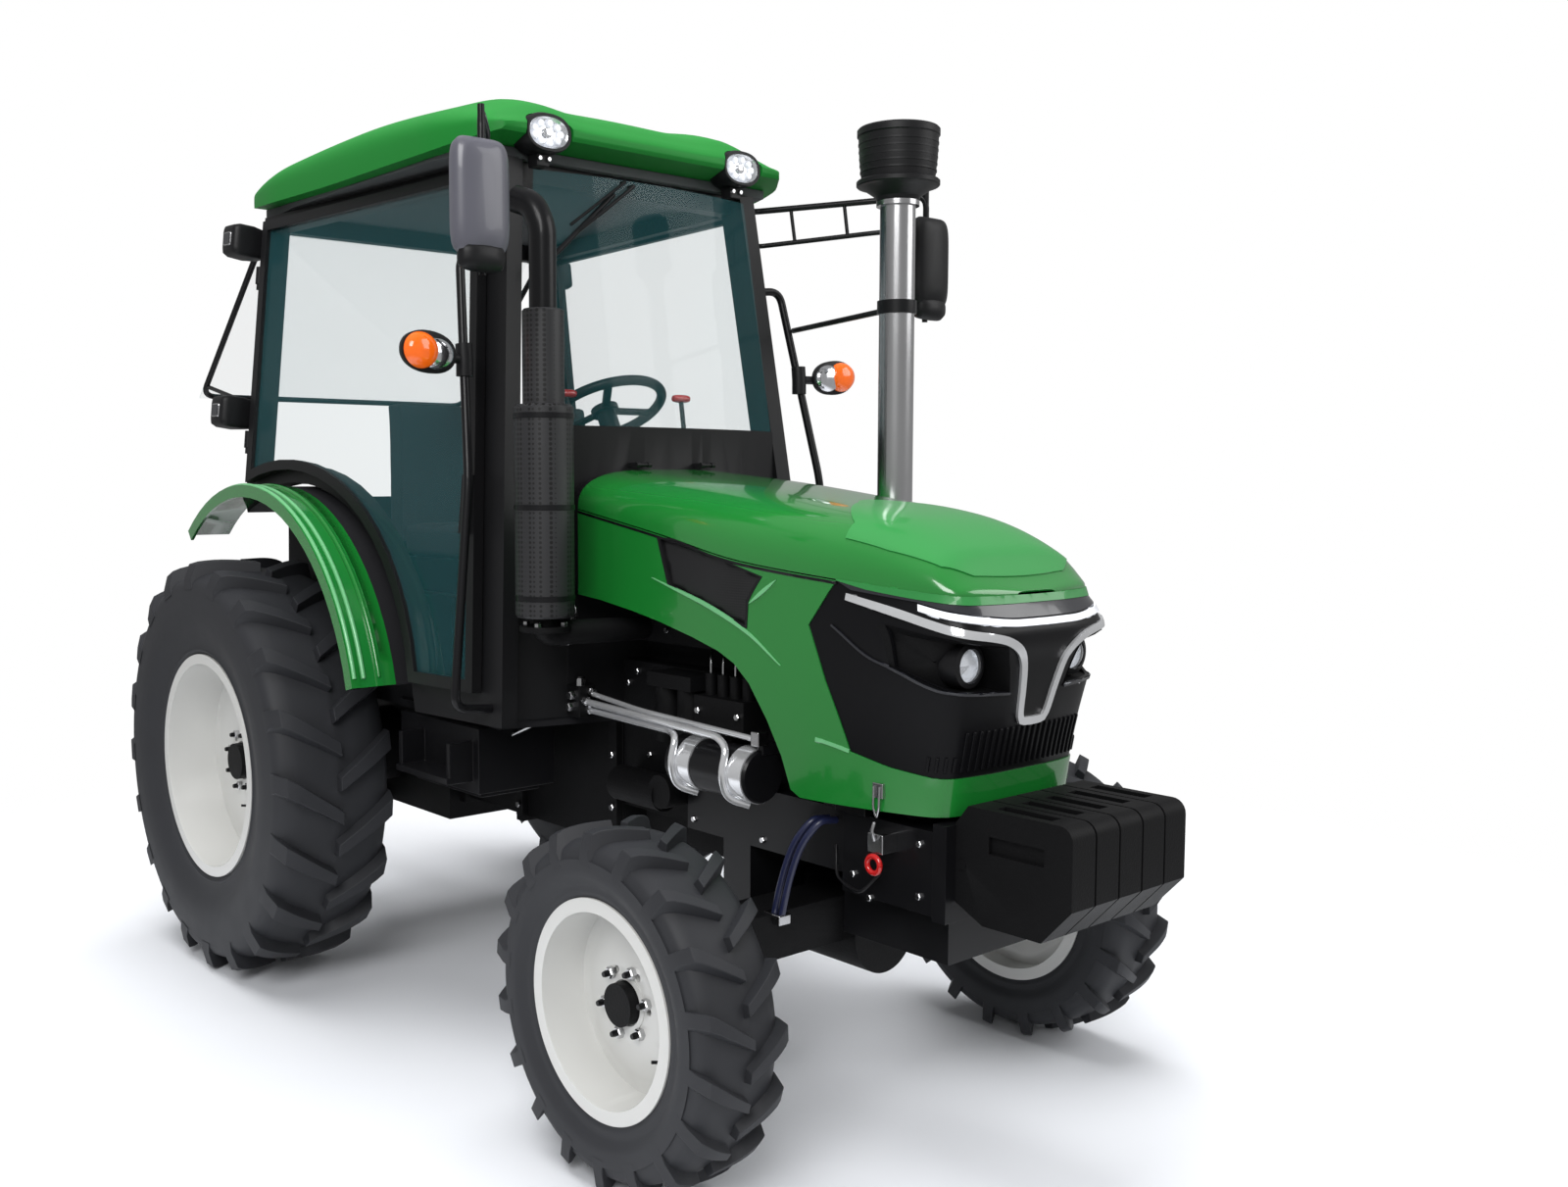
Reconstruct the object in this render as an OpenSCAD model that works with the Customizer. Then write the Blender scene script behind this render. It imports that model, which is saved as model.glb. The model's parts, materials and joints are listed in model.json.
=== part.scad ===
// Four-wheel-drive farm tractor with a glazed cab, lift-up hood and front weights.
// Lengths are millimetres. Pieces are drawn from the rear axle's centre on the ground,
// +X forward, +Y to the tractor's left, +Z up, and then moved to the middle of the length.

/* [Wheels] */
// Distance between the front and rear axles
wheelbase = 2112; // [1950:1:2300]
// Outer diameter of a rear tyre over its lugs
rear_tyre_d = 1394; // [1320:1:1440]
// Width of a rear tyre
rear_tyre_w = 390; // [340:1:420]
// Diameter over the flanges of a rear rim
rear_rim_d = 756; // [700:1:800]
// Distance between the centre planes of the rear tyres
rear_track = 1576; // [1550:1:1700]
// Outer diameter of a front tyre over its lugs
front_tyre_d = 862; // [800:1:880]
// Width of a front tyre
front_tyre_w = 244; // [210:1:260]
// Diameter over the flanges of a front rim
front_rim_d = 526; // [480:1:560]
// Distance between the centre planes of the front tyres
front_track = 1518; // [1480:1:1600]
// Distance between the steering pivots of the front axle
kingpin_track = 1240; // [1200:1:1280]

/* [Hood] */
// Where the hood starts, ahead of the rear axle
hood_x0 = 1345; // [1330:1:1380]
// Half width of the hood's sides
hood_hw = 358; // [345:1:365]
// Wall thickness of the hood
hood_t = 12; // [8:1:16]
// Width of one front weight
weight_w = 90; // [70:1:100]
// Number of front weights
weight_n = 5; // [3:1:5]

/* [Cab] */
// Floor height of the cab above the ground
floor_z = 965; // [940:1:990]
// Height of the cab's roof ring above the ground
ring_z = 2600; // [2500:1:2700]
// Distance of the door hinge line behind the rear axle
cab_rear_x = 150; // [120:1:180]
// Half width of the cab over the door hinges at the sill
cab_hw = 782; // [770:1:800]
// Angle by which the cab's sides draw in towards the front
toe = 4.7; // [3:0.1:6]
// Angle by which the cab's sides lean in towards the top
lean = 5.7; // [4:0.1:7]
// Thickness of a door
door_t = 34; // [28:1:40]
// Gap between a rear tyre and its mudguard at the nearest place
guard_gap = 73; // [60:1:90]
// Outer half width over the mudguards
guard_hw = 850; // [840:1:900]

/* [Hidden] */
$fn = 48;

// Colours
paint_green = [0.06, 0.42, 0.13];
coat_black = [0.06, 0.06, 0.07];
cast_black = [0.10, 0.10, 0.11];
rim_white = [0.90, 0.90, 0.88];
tyre_black = [0.13, 0.13, 0.14];
bright = [0.75, 0.76, 0.78];
clear_glass = [0.65, 0.80, 0.82, 0.35];
lamp_white = [0.9, 0.92, 0.95];
amber = [0.95, 0.45, 0.05];
lamp_red = [0.7, 0.05, 0.05];
seat_grey = [0.2, 0.2, 0.22];
liner_grey = [0.25, 0.26, 0.28];

// Clearances: between pieces of one body, and between moving pieces
fit = 0.3;
run = 6;

// Places along the length: the lower links end the rear, the weights the front
links_x = -930;
bracket_x0 = wheelbase + 488;
bracket_x1 = bracket_x0 + 40;
weight_x1 = bracket_x1 + 318;
x_mid = (links_x + weight_x1) / 2;
rear_z = rear_tyre_d / 2;
front_z = front_tyre_d / 2;
front_x = wheelbase;
rear_y = rear_track / 2;
front_y = front_track / 2;
king_y = kingpin_track / 2;

module at_origin() {
    translate([-x_mid, 0, 0]) children();
}

module both_sides() {
    children();
    mirror([0, 1, 0]) children();
}

module on_side(s) {
    mirror([0, s > 0 ? 0 : 1, 0]) children();
}

// Box from its low corner to its high corner
module block(lo, hi) {
    translate(lo) cube(hi - lo);
}

// Round bar between two points
module rod(a, b, r) {
    d = b - a;
    l = norm(d);
    translate(a) rotate([0, acos(d.z / l), atan2(d.y, d.x)]) cylinder(h = l, r = r);
}

// Bent tube through a list of points, with a ball at each bend
module tube(pts, r) {
    for (i = [0 : len(pts) - 2]) rod(pts[i], pts[i + 1], r);
    for (i = [1 : len(pts) - 2]) translate(pts[i]) sphere(r + 0.4);
}

// Plate in the XZ plane, from y0 to y1
module side_plate(pts, y0, y1) {
    translate([0, y1, 0]) rotate([90, 0, 0]) linear_extrude(y1 - y0) polygon(pts);
}

// Solid of revolution about the Y axis; profile points are [radius, y]
module turned(profile) {
    rotate([-90, 0, 0]) rotate_extrude($fn = 96) polygon(profile);
}

function arc(c, r, a0, a1, n = 12) =
    [for (i = [0 : n]) let (a = a0 + (a1 - a0) * i / n) [c.x + r * cos(a), c.y + r * sin(a)]];

// Closed skin over rings that mirror across the middle plane; the ends close in level strips
module loft(rings) {
    n = len(rings[0]);
    m = len(rings);
    strips = [for (i = [0 : ceil(n / 2) - 2])
        i + 1 == n - 2 - i ? [i, i + 1, n - 1 - i] : [i, i + 1, n - 2 - i, n - 1 - i]];
    polyhedron(
        points = [for (r = rings) each r],
        faces = concat(
            [for (f = strips) [for (k = [len(f) - 1 : -1 : 0]) f[k]]],
            [for (k = [0 : m - 2], i = [0 : n - 1]) let (j = (i + 1) % n)
                each [
                    [k * n + i, k * n + j, (k + 1) * n + j],
                    [k * n + i, (k + 1) * n + j, (k + 1) * n + i]
                ]],
            [for (f = strips) [for (i = f) (m - 1) * n + i]]
        ),
        convexity = 6
    );
}

// Linear interpolation in a list of [x, value] pairs
function along(table, x) = lookup(x, table);

// Wheels
flange_t = 14;
bead_step = 24;

function rim_w(tyre_w) = tyre_w * 0.84;

// Tyre: a carcass from bead to bead, with bars in a chevron that run out to the shoulders
module tyre(d, w, rim_d, bars, bar_h) {
    seat_r = rim_d / 2 - bead_step;
    half = rim_w(w) / 2 - flange_t - fit;
    r = d / 2 - bar_h;
    wall = w / 2;
    mid_r = (rim_d / 2 + r) / 2;
    color(tyre_black) {
        turned(concat(
            [[seat_r + fit, -half], [rim_d / 2 + fit, -half], [mid_r, -wall]],
            [[r - 34, 14 - wall], [r, 52 - wall], [r, wall - 52], [r - 34, wall - 14]],
            [[mid_r, wall], [rim_d / 2 + fit, half], [seat_r + fit, half]]
        ));
        for (i = [0 : bars - 1], s = [0, 1])
            rotate([0, (i + s / 2) * 360 / bars, 0]) mirror([0, s, 0]) tread_bar(d / 2, wall, bar_h);
    }
}

// One bar of the tread: local X runs round the tyre and Y across it
module tread_bar(r, wall, bar_h) {
    b = r * 0.042;
    lead = r * 0.115;
    trail = -r * 0.075;
    top = sqrt(r * r - pow(lead + b, 2));
    translate([0, 0, r - bar_h - 60]) linear_extrude(top - r + bar_h + 60) polygon([
        [lead - b, -6], [lead + b, -6], [b - lead * 0.1, wall * 0.55],
        [trail + b, wall - 8], [trail - b, wall - 8], [-b - lead * 0.1, wall * 0.5]
    ]);
}

// Rim with a dished disc; bore_r is the hub hole, face_y is where the disc sits, out_y to the outside
module rim(w, rim_d, bore_r, face_y, disc_t, bolt_r, bolt_n) {
    seat_r = rim_d / 2 - bead_step;
    half = rim_w(w) / 2;
    well_r = seat_r - 10;
    disc_r = well_r - 4;
    color(rim_white) {
        turned([
            [well_r, -half], [rim_d / 2, -half], [rim_d / 2, -half + flange_t], [seat_r, -half + flange_t],
            [seat_r, half - flange_t], [rim_d / 2, half - flange_t], [rim_d / 2, half], [well_r, half]
        ]);
        difference() {
            turned([
                [bore_r, face_y], [bore_r, face_y + disc_t], [bore_r * 2.1, face_y + disc_t],
                [disc_r * 0.86, face_y + disc_t - 38], [well_r + 5, face_y + disc_t - 38],
                [well_r + 5, face_y - 38], [disc_r * 0.84, face_y - 38], [bore_r * 2.0, face_y]
            ]);
            for (i = [0 : bolt_n - 1])
                rotate([0, i * 360 / bolt_n, 0]) translate([bore_r * 1.55, 0, 0]) rotate([90, 0, 0])
                    cylinder(h = 400, r = bolt_r, center = true);
        }
    }
}

rear_bore_r = 62;
front_bore_r = 52;
rear_face_y = 12;
front_face_y = 0;
disc_t = 14;

module rear_wheel_at(s) {
    at_origin() on_side(s) translate([0, rear_y, rear_z]) children();
}

module front_wheel_at(s) {
    at_origin() on_side(s) translate([front_x, front_y, front_z]) children();
}

rear_bars = 20;
front_bars = 18;
module rear_tyre() tyre(rear_tyre_d, rear_tyre_w, rear_rim_d, rear_bars, 36);
module front_tyre() tyre(front_tyre_d, front_tyre_w, front_rim_d, front_bars, 28);
module rear_tyre_right() rear_wheel_at(-1) rear_tyre();
module rear_tyre_left() rear_wheel_at(1) rear_tyre();
module front_tyre_right() front_wheel_at(-1) front_tyre();
module front_tyre_left() front_wheel_at(1) front_tyre();

module rear_rim() rim(rear_tyre_w, rear_rim_d, rear_bore_r, rear_face_y, disc_t, 11, 8);
module front_rim() rim(front_tyre_w, front_rim_d, front_bore_r, front_face_y, disc_t, 9, 6);
module rear_rim_right() rear_wheel_at(-1) rear_rim();
module rear_rim_left() rear_wheel_at(1) rear_rim();
module front_rim_right() front_wheel_at(-1) front_rim();
module front_rim_left() front_wheel_at(1) front_rim();

// Front axle, knuckles and steering
beam_z = front_z + 90;
beam_h = 120;
king_r = 32;
lug_r = 62;
lug_h = 60;
fork_z0 = beam_z - 85;
fork_z1 = beam_z + 85;
arm_l = 110;
arm_t = 40;
rod_x = front_x - arm_l;
rod_z = beam_z - 42;
steer_rod_r = 12;
steer_barrel_r = 40;
hub_r = 95;

module front_axle() at_origin() color(cast_black) difference() {
    union() {
        block(
            [front_x - 70, 100 - king_y, beam_z - beam_h / 2],
            [front_x + 70, king_y - 100, beam_z + beam_h / 2]
        );
        translate([front_x, 0, beam_z - 45]) rotate([0, 90, 0]) cylinder(h = 230, r = 115, center = true);
        both_sides() {
            block([front_x - 40, king_y - 120, fork_z0], [front_x + 40, king_y - 88, fork_z1]);
            for (z = [fork_z0, fork_z1 - lug_h]) {
                translate([front_x, king_y, z]) cylinder(h = lug_h, r = lug_r);
                block([front_x - 40, king_y - 100, z], [front_x + 40, king_y, z + lug_h]);
            }
        }
        rod([rod_x, -150, rod_z], [rod_x, 150, rod_z], steer_barrel_r);
        block([rod_x, -140, rod_z - 20], [front_x - 65, 140, rod_z + 20]);
        translate([front_x - 152, 0, beam_z + 45]) rotate([0, 90, 0]) cylinder(h = 304, r = 40);
    }
    both_sides() translate([front_x, king_y, fork_z0 - 1]) cylinder(h = 200, r = king_r);
    rod([rod_x, -200, rod_z], [rod_x, 200, rod_z], steer_rod_r + 1);
}

// Knuckle: pivot pin, steering arm, final drive case and spindle for the wheel
module knuckle() {
    spindle_y = front_y + front_face_y;
    drop_y = king_y + 45;
    color(cast_black) {
        translate([front_x, king_y, fork_z0 + 1]) cylinder(h = fork_z1 - fork_z0 - 2, r = king_r - fit);
        translate([front_x, king_y, fork_z0 + lug_h + fit])
            cylinder(h = fork_z1 - fork_z0 - 2 * lug_h - 2 * fit, r = lug_r - 4);
        block(
            [front_x - arm_l - 24, king_y - 22, beam_z - arm_t / 2],
            [front_x, king_y + 22, beam_z + arm_t / 2]
        );
        block([front_x - 60, drop_y - 20, beam_z - 24], [front_x + 60, drop_y + 45, beam_z + 24]);
        translate([front_x, drop_y + 25, front_z]) rotate([-90, 0, 0])
            cylinder(h = spindle_y - drop_y - 25 - fit, r = hub_r);
        block([front_x - 75, drop_y + 25, front_z - 10], [front_x + 75, drop_y + 60, beam_z + 24]);
        translate([front_x, drop_y + 25, front_z]) rotate([-90, 0, 0])
            cylinder(h = spindle_y - drop_y + 20, r = front_bore_r - 2 * fit);
    }
}

module knuckle_right() at_origin() on_side(-1) knuckle();
module knuckle_left() at_origin() on_side(1) knuckle();

// Piston rod of the steering cylinder, with its ends below the steering arms
module steering_rod() at_origin() color(bright) {
    rod([rod_x, -king_y, rod_z], [rod_x, king_y, rod_z], steer_rod_r);
    both_sides() translate([rod_x, king_y, rod_z - 18])
        cylinder(h = beam_z - arm_t / 2 - fit - rod_z + 18, r = 20);
}

// Chassis
bolster_z = beam_z + 85;
rail_y0 = 195;
rail_y1 = 240;
rail_z0 = 690;
rail_z1 = 850;
engine_x0 = hood_x0 + 5;
engine_x1 = front_x - 12;
floor_t = 25;
case_top = floor_z - floor_t;
rear_case_x = -280;
case_hw = 250;
shaft_x = -316;
shaft_z = 880;
shaft_r = 28;
link_pin = [-150, 480];
link_pin_r = 14;

engine_hw = 195;
head_hw = 130;

// Engine: block, sump, head and cover, with the fan and the fittings that show below the hood
module engine() at_origin() color(cast_black) translate([engine_x0, 0, 0]) {
    l = engine_x1 - engine_x0;
    block([0, -engine_hw, rail_z0], [l, engine_hw, 1130]);
    block([50, -150, 600], [l - 250, 150, rail_z0 + 1]);
    block([30, -head_hw, 1129], [l - 40, head_hw, 1330]);
    block([50, -90, 1329], [l - 60, 90, 1400]);
    translate([l - 1, 0, 1010]) rotate([0, 90, 0]) cylinder(h = 61, r = 110);
    translate([l + 59, 0, 1010]) rotate([0, 90, 0]) cylinder(h = 30, r = 200);
    engine_right(l);
    engine_left(l);
}

// Manifold, injection pump, filters, starter and oil filter on the right
manifold_y = 230;
manifold_z = 1238;

module engine_right(l) {
    block([100, -manifold_y, manifold_z - 38], [l - 100, -head_hw + 1, manifold_z + 38]);
    block([430, -285, 985], [630, -engine_hw + 1, 1080]);
    for (i = [0 : 3]) translate([455 + i * 50, -245, 1079]) cylinder(h = 60, r = 16);
    block([230, -290, 1085], [420, -engine_hw + 1, 1125]);
    for (x = [275, 370]) translate([x, -246, 930]) cylinder(h = 160, r = 38);
    rod([60, -255, 775], [270, -255, 775], 52);
    block([60, -240, 740], [120, -engine_hw + 1, 810]);
    rod([296, -300, 790], [296, -engine_hw + 1, 790], 48);
}

// Alternator, manifold and breather on the left
module engine_left(l) {
    rod([l - 150, 265, 1120], [l - 20, 265, 1120], 68);
    block([l - 130, engine_hw - 1, 1060], [l - 60, 240, 1110]);
    block([100, head_hw - 1, 1190], [l - 200, 215, 1265]);
    rod([300, engine_hw - 1, 860], [300, 290, 860], 46);
}

// Clutch housing, gearbox and rear axle in one casting, with the hitch's pivots
module transmission() at_origin() color(cast_black) {
    block([420, -200, 560], [engine_x0, 200, case_top]);
    for (x = [440, 800, engine_x0 - 40]) block([x, -222, 545], [x + 36, 222, case_top]);
    block([rear_case_x, -case_hw, 480], [421, case_hw, 930]);
    both_sides() {
        rod([0, case_hw - 1, rear_z], [0, rear_y - 190, rear_z], 135);
        rod([0, case_hw - 1, rear_z], [0, rear_y + rear_face_y - fit, rear_z], 100);
        rod([0, case_hw - 1, rear_z], [0, rear_y + 60, rear_z], rear_bore_r - 2 * fit);
        rod([link_pin.x, case_hw - 1, link_pin.y], [link_pin.x, case_hw + 129, link_pin.y], link_pin_r);
        block(
            [link_pin.x - 40, case_hw - 50, link_pin.y - 40],
            [link_pin.x + 40, case_hw + 80, link_pin.y + 60]
        );
        difference() {
            block([shaft_x - 45, case_hw - 35, shaft_z - 45], [rear_case_x + 1, case_hw, shaft_z + 45]);
            translate([shaft_x, 0, shaft_z]) rotate([-90, 0, 0]) cylinder(h = 400, r = shaft_r + fit);
        }
    }
    translate([rear_case_x - 100, 0, 620]) rotate([0, 90, 0]) cylinder(h = 101, r = 17.5);
    both_sides() difference() {
        block([rear_case_x - 90, 28, 740], [rear_case_x + 1, 44, 820]);
        translate([rear_case_x - 55, 0, 780]) rotate([-90, 0, 0]) cylinder(h = 100, r = 12.9);
    }
}

bracket_z0 = 640;
bracket_z1 = 870;

// Side rails, the cross pieces that carry the axle, and the weights' bracket
module front_frame() at_origin() color(coat_black) {
    both_sides() {
        block([engine_x1 - 400, rail_y0, rail_z0], [bracket_x0 + 1, rail_y1, rail_z1]);
        block([front_x + 200, rail_y1 - 1, bracket_z0 + 10], [bracket_x0 + 1, rail_y1 + 14, rail_z1]);
    }
    block([front_x - 260, -rail_y1, bolster_z - 85], [front_x - 152, rail_y1, rail_z0]);
    block([front_x + 152, -rail_y0 - 1, bolster_z - 85], [bracket_x0 + 1, rail_y0 + 1, 830]);
    block([bracket_x0, -256, bracket_z0], [bracket_x1, 256, bracket_z1]);
}

module radiator() at_origin() color(coat_black) translate([front_x, 0, 0]) {
    block([188, -270, rail_z1], [288, 270, 1340]);
    block([118, -240, rail_z1], [189, 240, 1300]);
    translate([238, 0, 1339]) cylinder(h = 35, r = 30);
}

// Suitcase weights hung on the front bracket, with a grip slot in the top of each
weight_z0 = 650;
weight_z1 = 920;
weight_gap = 6;
slot_l = 150;

module weight_plate() {
    l = weight_x1 - bracket_x1;
    pts = concat(
        [[0, weight_z1 - 45], [0, weight_z0 + 40], [80, weight_z0], [l - 78, weight_z0], [l, weight_z0 + 85]],
        arc([l - 34, weight_z1 - 34], 34, 0, 90, 6), [[35, weight_z1]]
    );
    difference() {
        side_plate(pts, 0, weight_w - weight_gap);
        block([95, 24, weight_z1 - 60], [95 + slot_l, weight_w - weight_gap - 24, weight_z1 + 1]);
        block([95, -1, weight_z1 - 100], [95 + slot_l, 12, weight_z1 - 60]);
    }
}

module front_weights() at_origin() color(coat_black) translate([bracket_x1, 0, 0]) {
    for (i = [0 : weight_n - 1])
        translate([0, (i - weight_n / 2) * weight_w + weight_gap / 2, 0]) weight_plate();
    rod([20, -weight_w * weight_n / 2, 780], [20, weight_w * weight_n / 2, 780], 12);
}

// Exhaust on the right: shields, tail pipe and the pipe from the engine
exhaust_x = hood_x0 + 100;
exhaust_y = -543;
shield_z0 = 1284;
shield_z1 = 1869;
tail_z0 = 2129;

module exhaust() at_origin() color(coat_black) {
    translate([exhaust_x, exhaust_y, shield_z0]) cylinder(h = shield_z1 - shield_z0, r = 82);
    translate([exhaust_x, exhaust_y, shield_z1 - 1]) cylinder(h = tail_z0 - shield_z1 + 1, r = 58);
    translate([exhaust_x, exhaust_y, shield_z0 - 40]) cylinder(h = 16, r = 72);
    tube([
        [exhaust_x, exhaust_y, tail_z0 - 1], [exhaust_x, exhaust_y, 2345],
        [exhaust_x - 25, exhaust_y - 8, 2400], [exhaust_x - 85, exhaust_y - 25, 2432]
    ], 38);
    tube([
        [exhaust_x, exhaust_y, shield_z0 + 1], [exhaust_x, exhaust_y, manifold_z],
        [exhaust_x + 50, -310, manifold_z], [exhaust_x + 50, -manifold_y, manifold_z]
    ], 35);
}

// Air intake on the left: pipe, pre-cleaner and the strut that steadies it from the grab rail
stack_x = front_x - 262;
stack_y = 440;
stack_r = 52;
cleaner_r = 122;
cleaner_z = 2478;
strut_end = [1178, 668, 2170];

module intake_stack() at_origin() {
    color(bright) translate([stack_x, stack_y, 1180]) cylinder(h = cleaner_z - 1179, r = stack_r);
    color(coat_black) {
        translate([stack_x, stack_y, cleaner_z]) {
            cylinder(h = 42, r1 = stack_r + 10, r2 = cleaner_r - 14);
            translate([0, 0, 41]) cylinder(h = 18, r = cleaner_r);
            translate([0, 0, 58]) cylinder(h = 130, r1 = cleaner_r - 14, r2 = cleaner_r - 5);
            translate([0, 0, 187]) cylinder(h = 22, r = cleaner_r - 1);
        }
        tube([
            [stack_x, stack_y, 1181], [stack_x, stack_y, 1140],
            [stack_x, 330, 1060], [stack_x, engine_hw, 1060]
        ], stack_r + 1);
        translate([stack_x, stack_y, strut_end.z - 20]) cylinder(h = 40, r = stack_r + 5);
        rod([stack_x - 40, stack_y + 22, strut_end.z], strut_end, 9);
    }
}

// Oil canister on the right rail, with bright pipes from the pump
canister_r = 70;
canister_x = front_x - 347;
canister_l = 320;
canister_y = rail_y1 + canister_r + fit;
canister_z = 905;

module hydraulic_lines() at_origin() {
    color(coat_black) {
        canister_band(0, canister_l, canister_r);
        for (x = [45, 235]) block(
            [canister_x + x, -canister_y, rail_z1],
            [canister_x + x + 40, -engine_hw - 4, canister_z - 5]
        );
    }
    color(bright) {
        for (x = [55, 260]) canister_band(x, 42, canister_r + 3);
        for (i = [0, 1]) {
            z = 995 + 36 * i;
            x = canister_x + 80 + i * 205;
            tube([
                [hood_x0 - 30, -330 - 12 * i, z], [x - 40, -322 - 12 * i, z - 10],
                [x, -canister_y - 6, z - 50], [x, -canister_y - 6, canister_z]
            ], 11);
        }
    }
}

module canister_band(x, l, r) {
    rod([canister_x + x, -canister_y, canister_z], [canister_x + x + l, -canister_y, canister_z], r);
}

// Step box on the right and fuel tank on the left, below the doors
module side_steps() at_origin() color(coat_black) both_sides() {
    block([720, 330, 745], [1180, 600, case_top]);
    block([760, 360, 725], [1140, 570, 746]);
    block([850, 599, 780], [1150, 690, 800]);
    block([850, 599, 800], [870, 680, 900]);
    block([1130, 599, 800], [1150, 680, 900]);
}

// Cab
guard_t = 14;
arch_c = [120, rear_z + 161];
guard_r = rear_tyre_d / 2 + guard_gap + guard_t;
guard_y0 = 702;
tub_y = 545;
tub_x0 = -215;
sill_z = 1060;
ring_h = (ring_z - sill_z) / cos(lean);
door_arc_r = guard_r + 60;

// Places a sheet on the cab's left side: local X forward, Z up the side, Y outward
module on_cab_side() {
    translate([-cab_rear_x, cab_hw, sill_z]) rotate([0, 0, -toe]) rotate([lean, 0, 0]) children();
}

// The same place for one point
function side_point(p) = let (y = p.y * cos(lean) - p.z * sin(lean), z = p.y * sin(lean) + p.z * cos(lean))
    [-cab_rear_x + p.x * cos(toe) + y * sin(toe), cab_hw - p.x * sin(toe) + y * cos(toe), sill_z + z];

arch_u = arch_c.x + cab_rear_x;
arch_v = arch_c.y - sill_z;

function arch_line(r, u0, u1, n = 14) =
    let (a0 = acos((u0 - arch_u) / r), a1 = acos((u1 - arch_u) / r)) arc([arch_u, arch_v], r, a0, a1, n);

front_u = 1410;
top_front_u = 1264;
top_v = ring_h - 30;

function front_at(v) = front_u + (top_front_u - front_u) * v / top_v;

// Door outline, drawn in by a margin all round
function door_outline(m) = let (r = door_arc_r + m, end_u = arch_u + sqrt(r * r - pow(m - arch_v, 2))) concat(
    arch_line(r, m, end_u),
    [[front_at(m) - m, m], [front_at(top_v - m) - m, top_v - m], [m, top_v - m]]
);

hinge_u = -14;
hinge_y = -10;
hinge_pin_r = 7;
hinge_h = 60;
hinge_v = [720, 1300];
stile_w = 34;

module door(s) {
    handle_u = front_at(535) - 32;
    color(coat_black) on_side(s) on_cab_side() {
        difference() {
            side_plate(door_outline(0), -door_t, 0);
            side_plate(door_outline(stile_w), -door_t - 1, 1);
        }
        side_plate([[handle_u, 450], [handle_u + 26, 450], [handle_u + 26, 620], [handle_u, 620]], -1, 26);
        for (v = hinge_v) difference() {
            union() {
                translate([hinge_u, hinge_y, v]) cylinder(h = hinge_h, r = 2 * hinge_pin_r);
                block([hinge_u, hinge_y - 8, v], [6, hinge_y + 8, v + hinge_h]);
            }
            translate([hinge_u, hinge_y, v - 1]) cylinder(h = hinge_h + 2, r = hinge_pin_r + fit);
        }
    }
}

// Door hinge on the rear post: a bracket with an upright pin
module hinge_post() {
    for (v = hinge_v) {
        translate([hinge_u, hinge_y, v - 20 - fit]) cylinder(h = hinge_h + 20, r = hinge_pin_r);
        block(
            [hinge_u - hinge_pin_r, -door_t - run - 1, v - 20 - fit],
            [hinge_u + hinge_pin_r, hinge_y + hinge_pin_r, v - fit]
        );
    }
}

module door_glass(s) color(clear_glass) on_side(s) on_cab_side() side_plate(door_outline(stile_w), -20, -14);

module door_right() at_origin() door(-1);
module door_left() at_origin() door(1);
module door_glass_right() at_origin() door_glass(-1);
module door_glass_left() at_origin() door_glass(1);

frame_t = 55;
post_w = 88;
rear_post_w = 62;

frame_gap = 20;
frame_foot = [1080, -90];

function frame_outline() = let (r = guard_r + frame_gap) concat(
    arch_line(r, -rear_post_w, arch_u + sqrt(r * r - pow(arch_v, 2))),
    [frame_foot, [front_at(frame_foot.y) + post_w, frame_foot.y]],
    [[front_at(ring_h) + post_w, ring_h], [-rear_post_w, ring_h]]
);

module cab_frame() at_origin() color(coat_black) {
    both_sides() on_cab_side() {
        difference() {
            side_plate(frame_outline(), -door_t - run - frame_t, -door_t - run);
            side_plate(door_outline(22), -door_t - run - frame_t - 1, -door_t - run + 1);
        }
        hinge_post();
    }
    block([1060, -480, ring_z - 60], [1120, 480, ring_z]);
    block([-200, -575, ring_z - 60], [-150, 575, ring_z]);
}

module cab_tub() at_origin() color(coat_black) {
    block([tub_x0, -tub_y, floor_z - floor_t], [660, tub_y, floor_z]);
    translate([0, 0, floor_z - floor_t]) linear_extrude(floor_t)
        polygon([[640, -560], [1235, -560], [1325, -180], [1325, 180], [1235, 560], [640, 560]]);
    both_sides() {
        side_plate(
            concat([[tub_x0, floor_z - 5], [980, floor_z - 5]], arc(arch_c, guard_r - 16, 12, 114, 14)),
            tub_y - 25, tub_y
        );
        side_plate(
            concat(arc(arch_c, guard_r - 30, 14, 114, 20), arc(arch_c, guard_r - 1, 114, 14, 20)),
            tub_y - 10, guard_y0
        );
    }
    block([tub_x0, 20 - tub_y, floor_z - 5], [tub_x0 + 25, tub_y - 20, 1600]);
}

bow_r = 1900;
screen_x = 1325;
screen_z0 = 1822;
screen_tilt = 5.5;

// Bowed panel across the front of the cab, leaning back by tilt above its foot
module bowed(half_low, half_high, z0, z1, tilt, t) {
    intersection() {
        translate([screen_x, 0, screen_z0]) rotate([0, -tilt, 0]) translate([-bow_r, 0, -1000])
            linear_extrude(2000) difference() {
                circle(bow_r, $fn = 200);
                circle(bow_r - t, $fn = 200);
            }
        rotate([90, 0, 90]) linear_extrude(3000)
            polygon([[-half_low, z0], [half_low, z0], [half_high, z1], [-half_high, z1]]);
    }
}

module windscreen() at_origin() color(clear_glass) bowed(485, 408, screen_z0, 2560, screen_tilt, 6);

// Hood hinges: an ear on each side of a barrel, with a pin through them
hood_hinge = [hood_x0 + 13, 1708];
hood_pin_r = 5;
ear_r = 8;
barrel_r = 11;
barrel_y = [112, 140];

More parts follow.
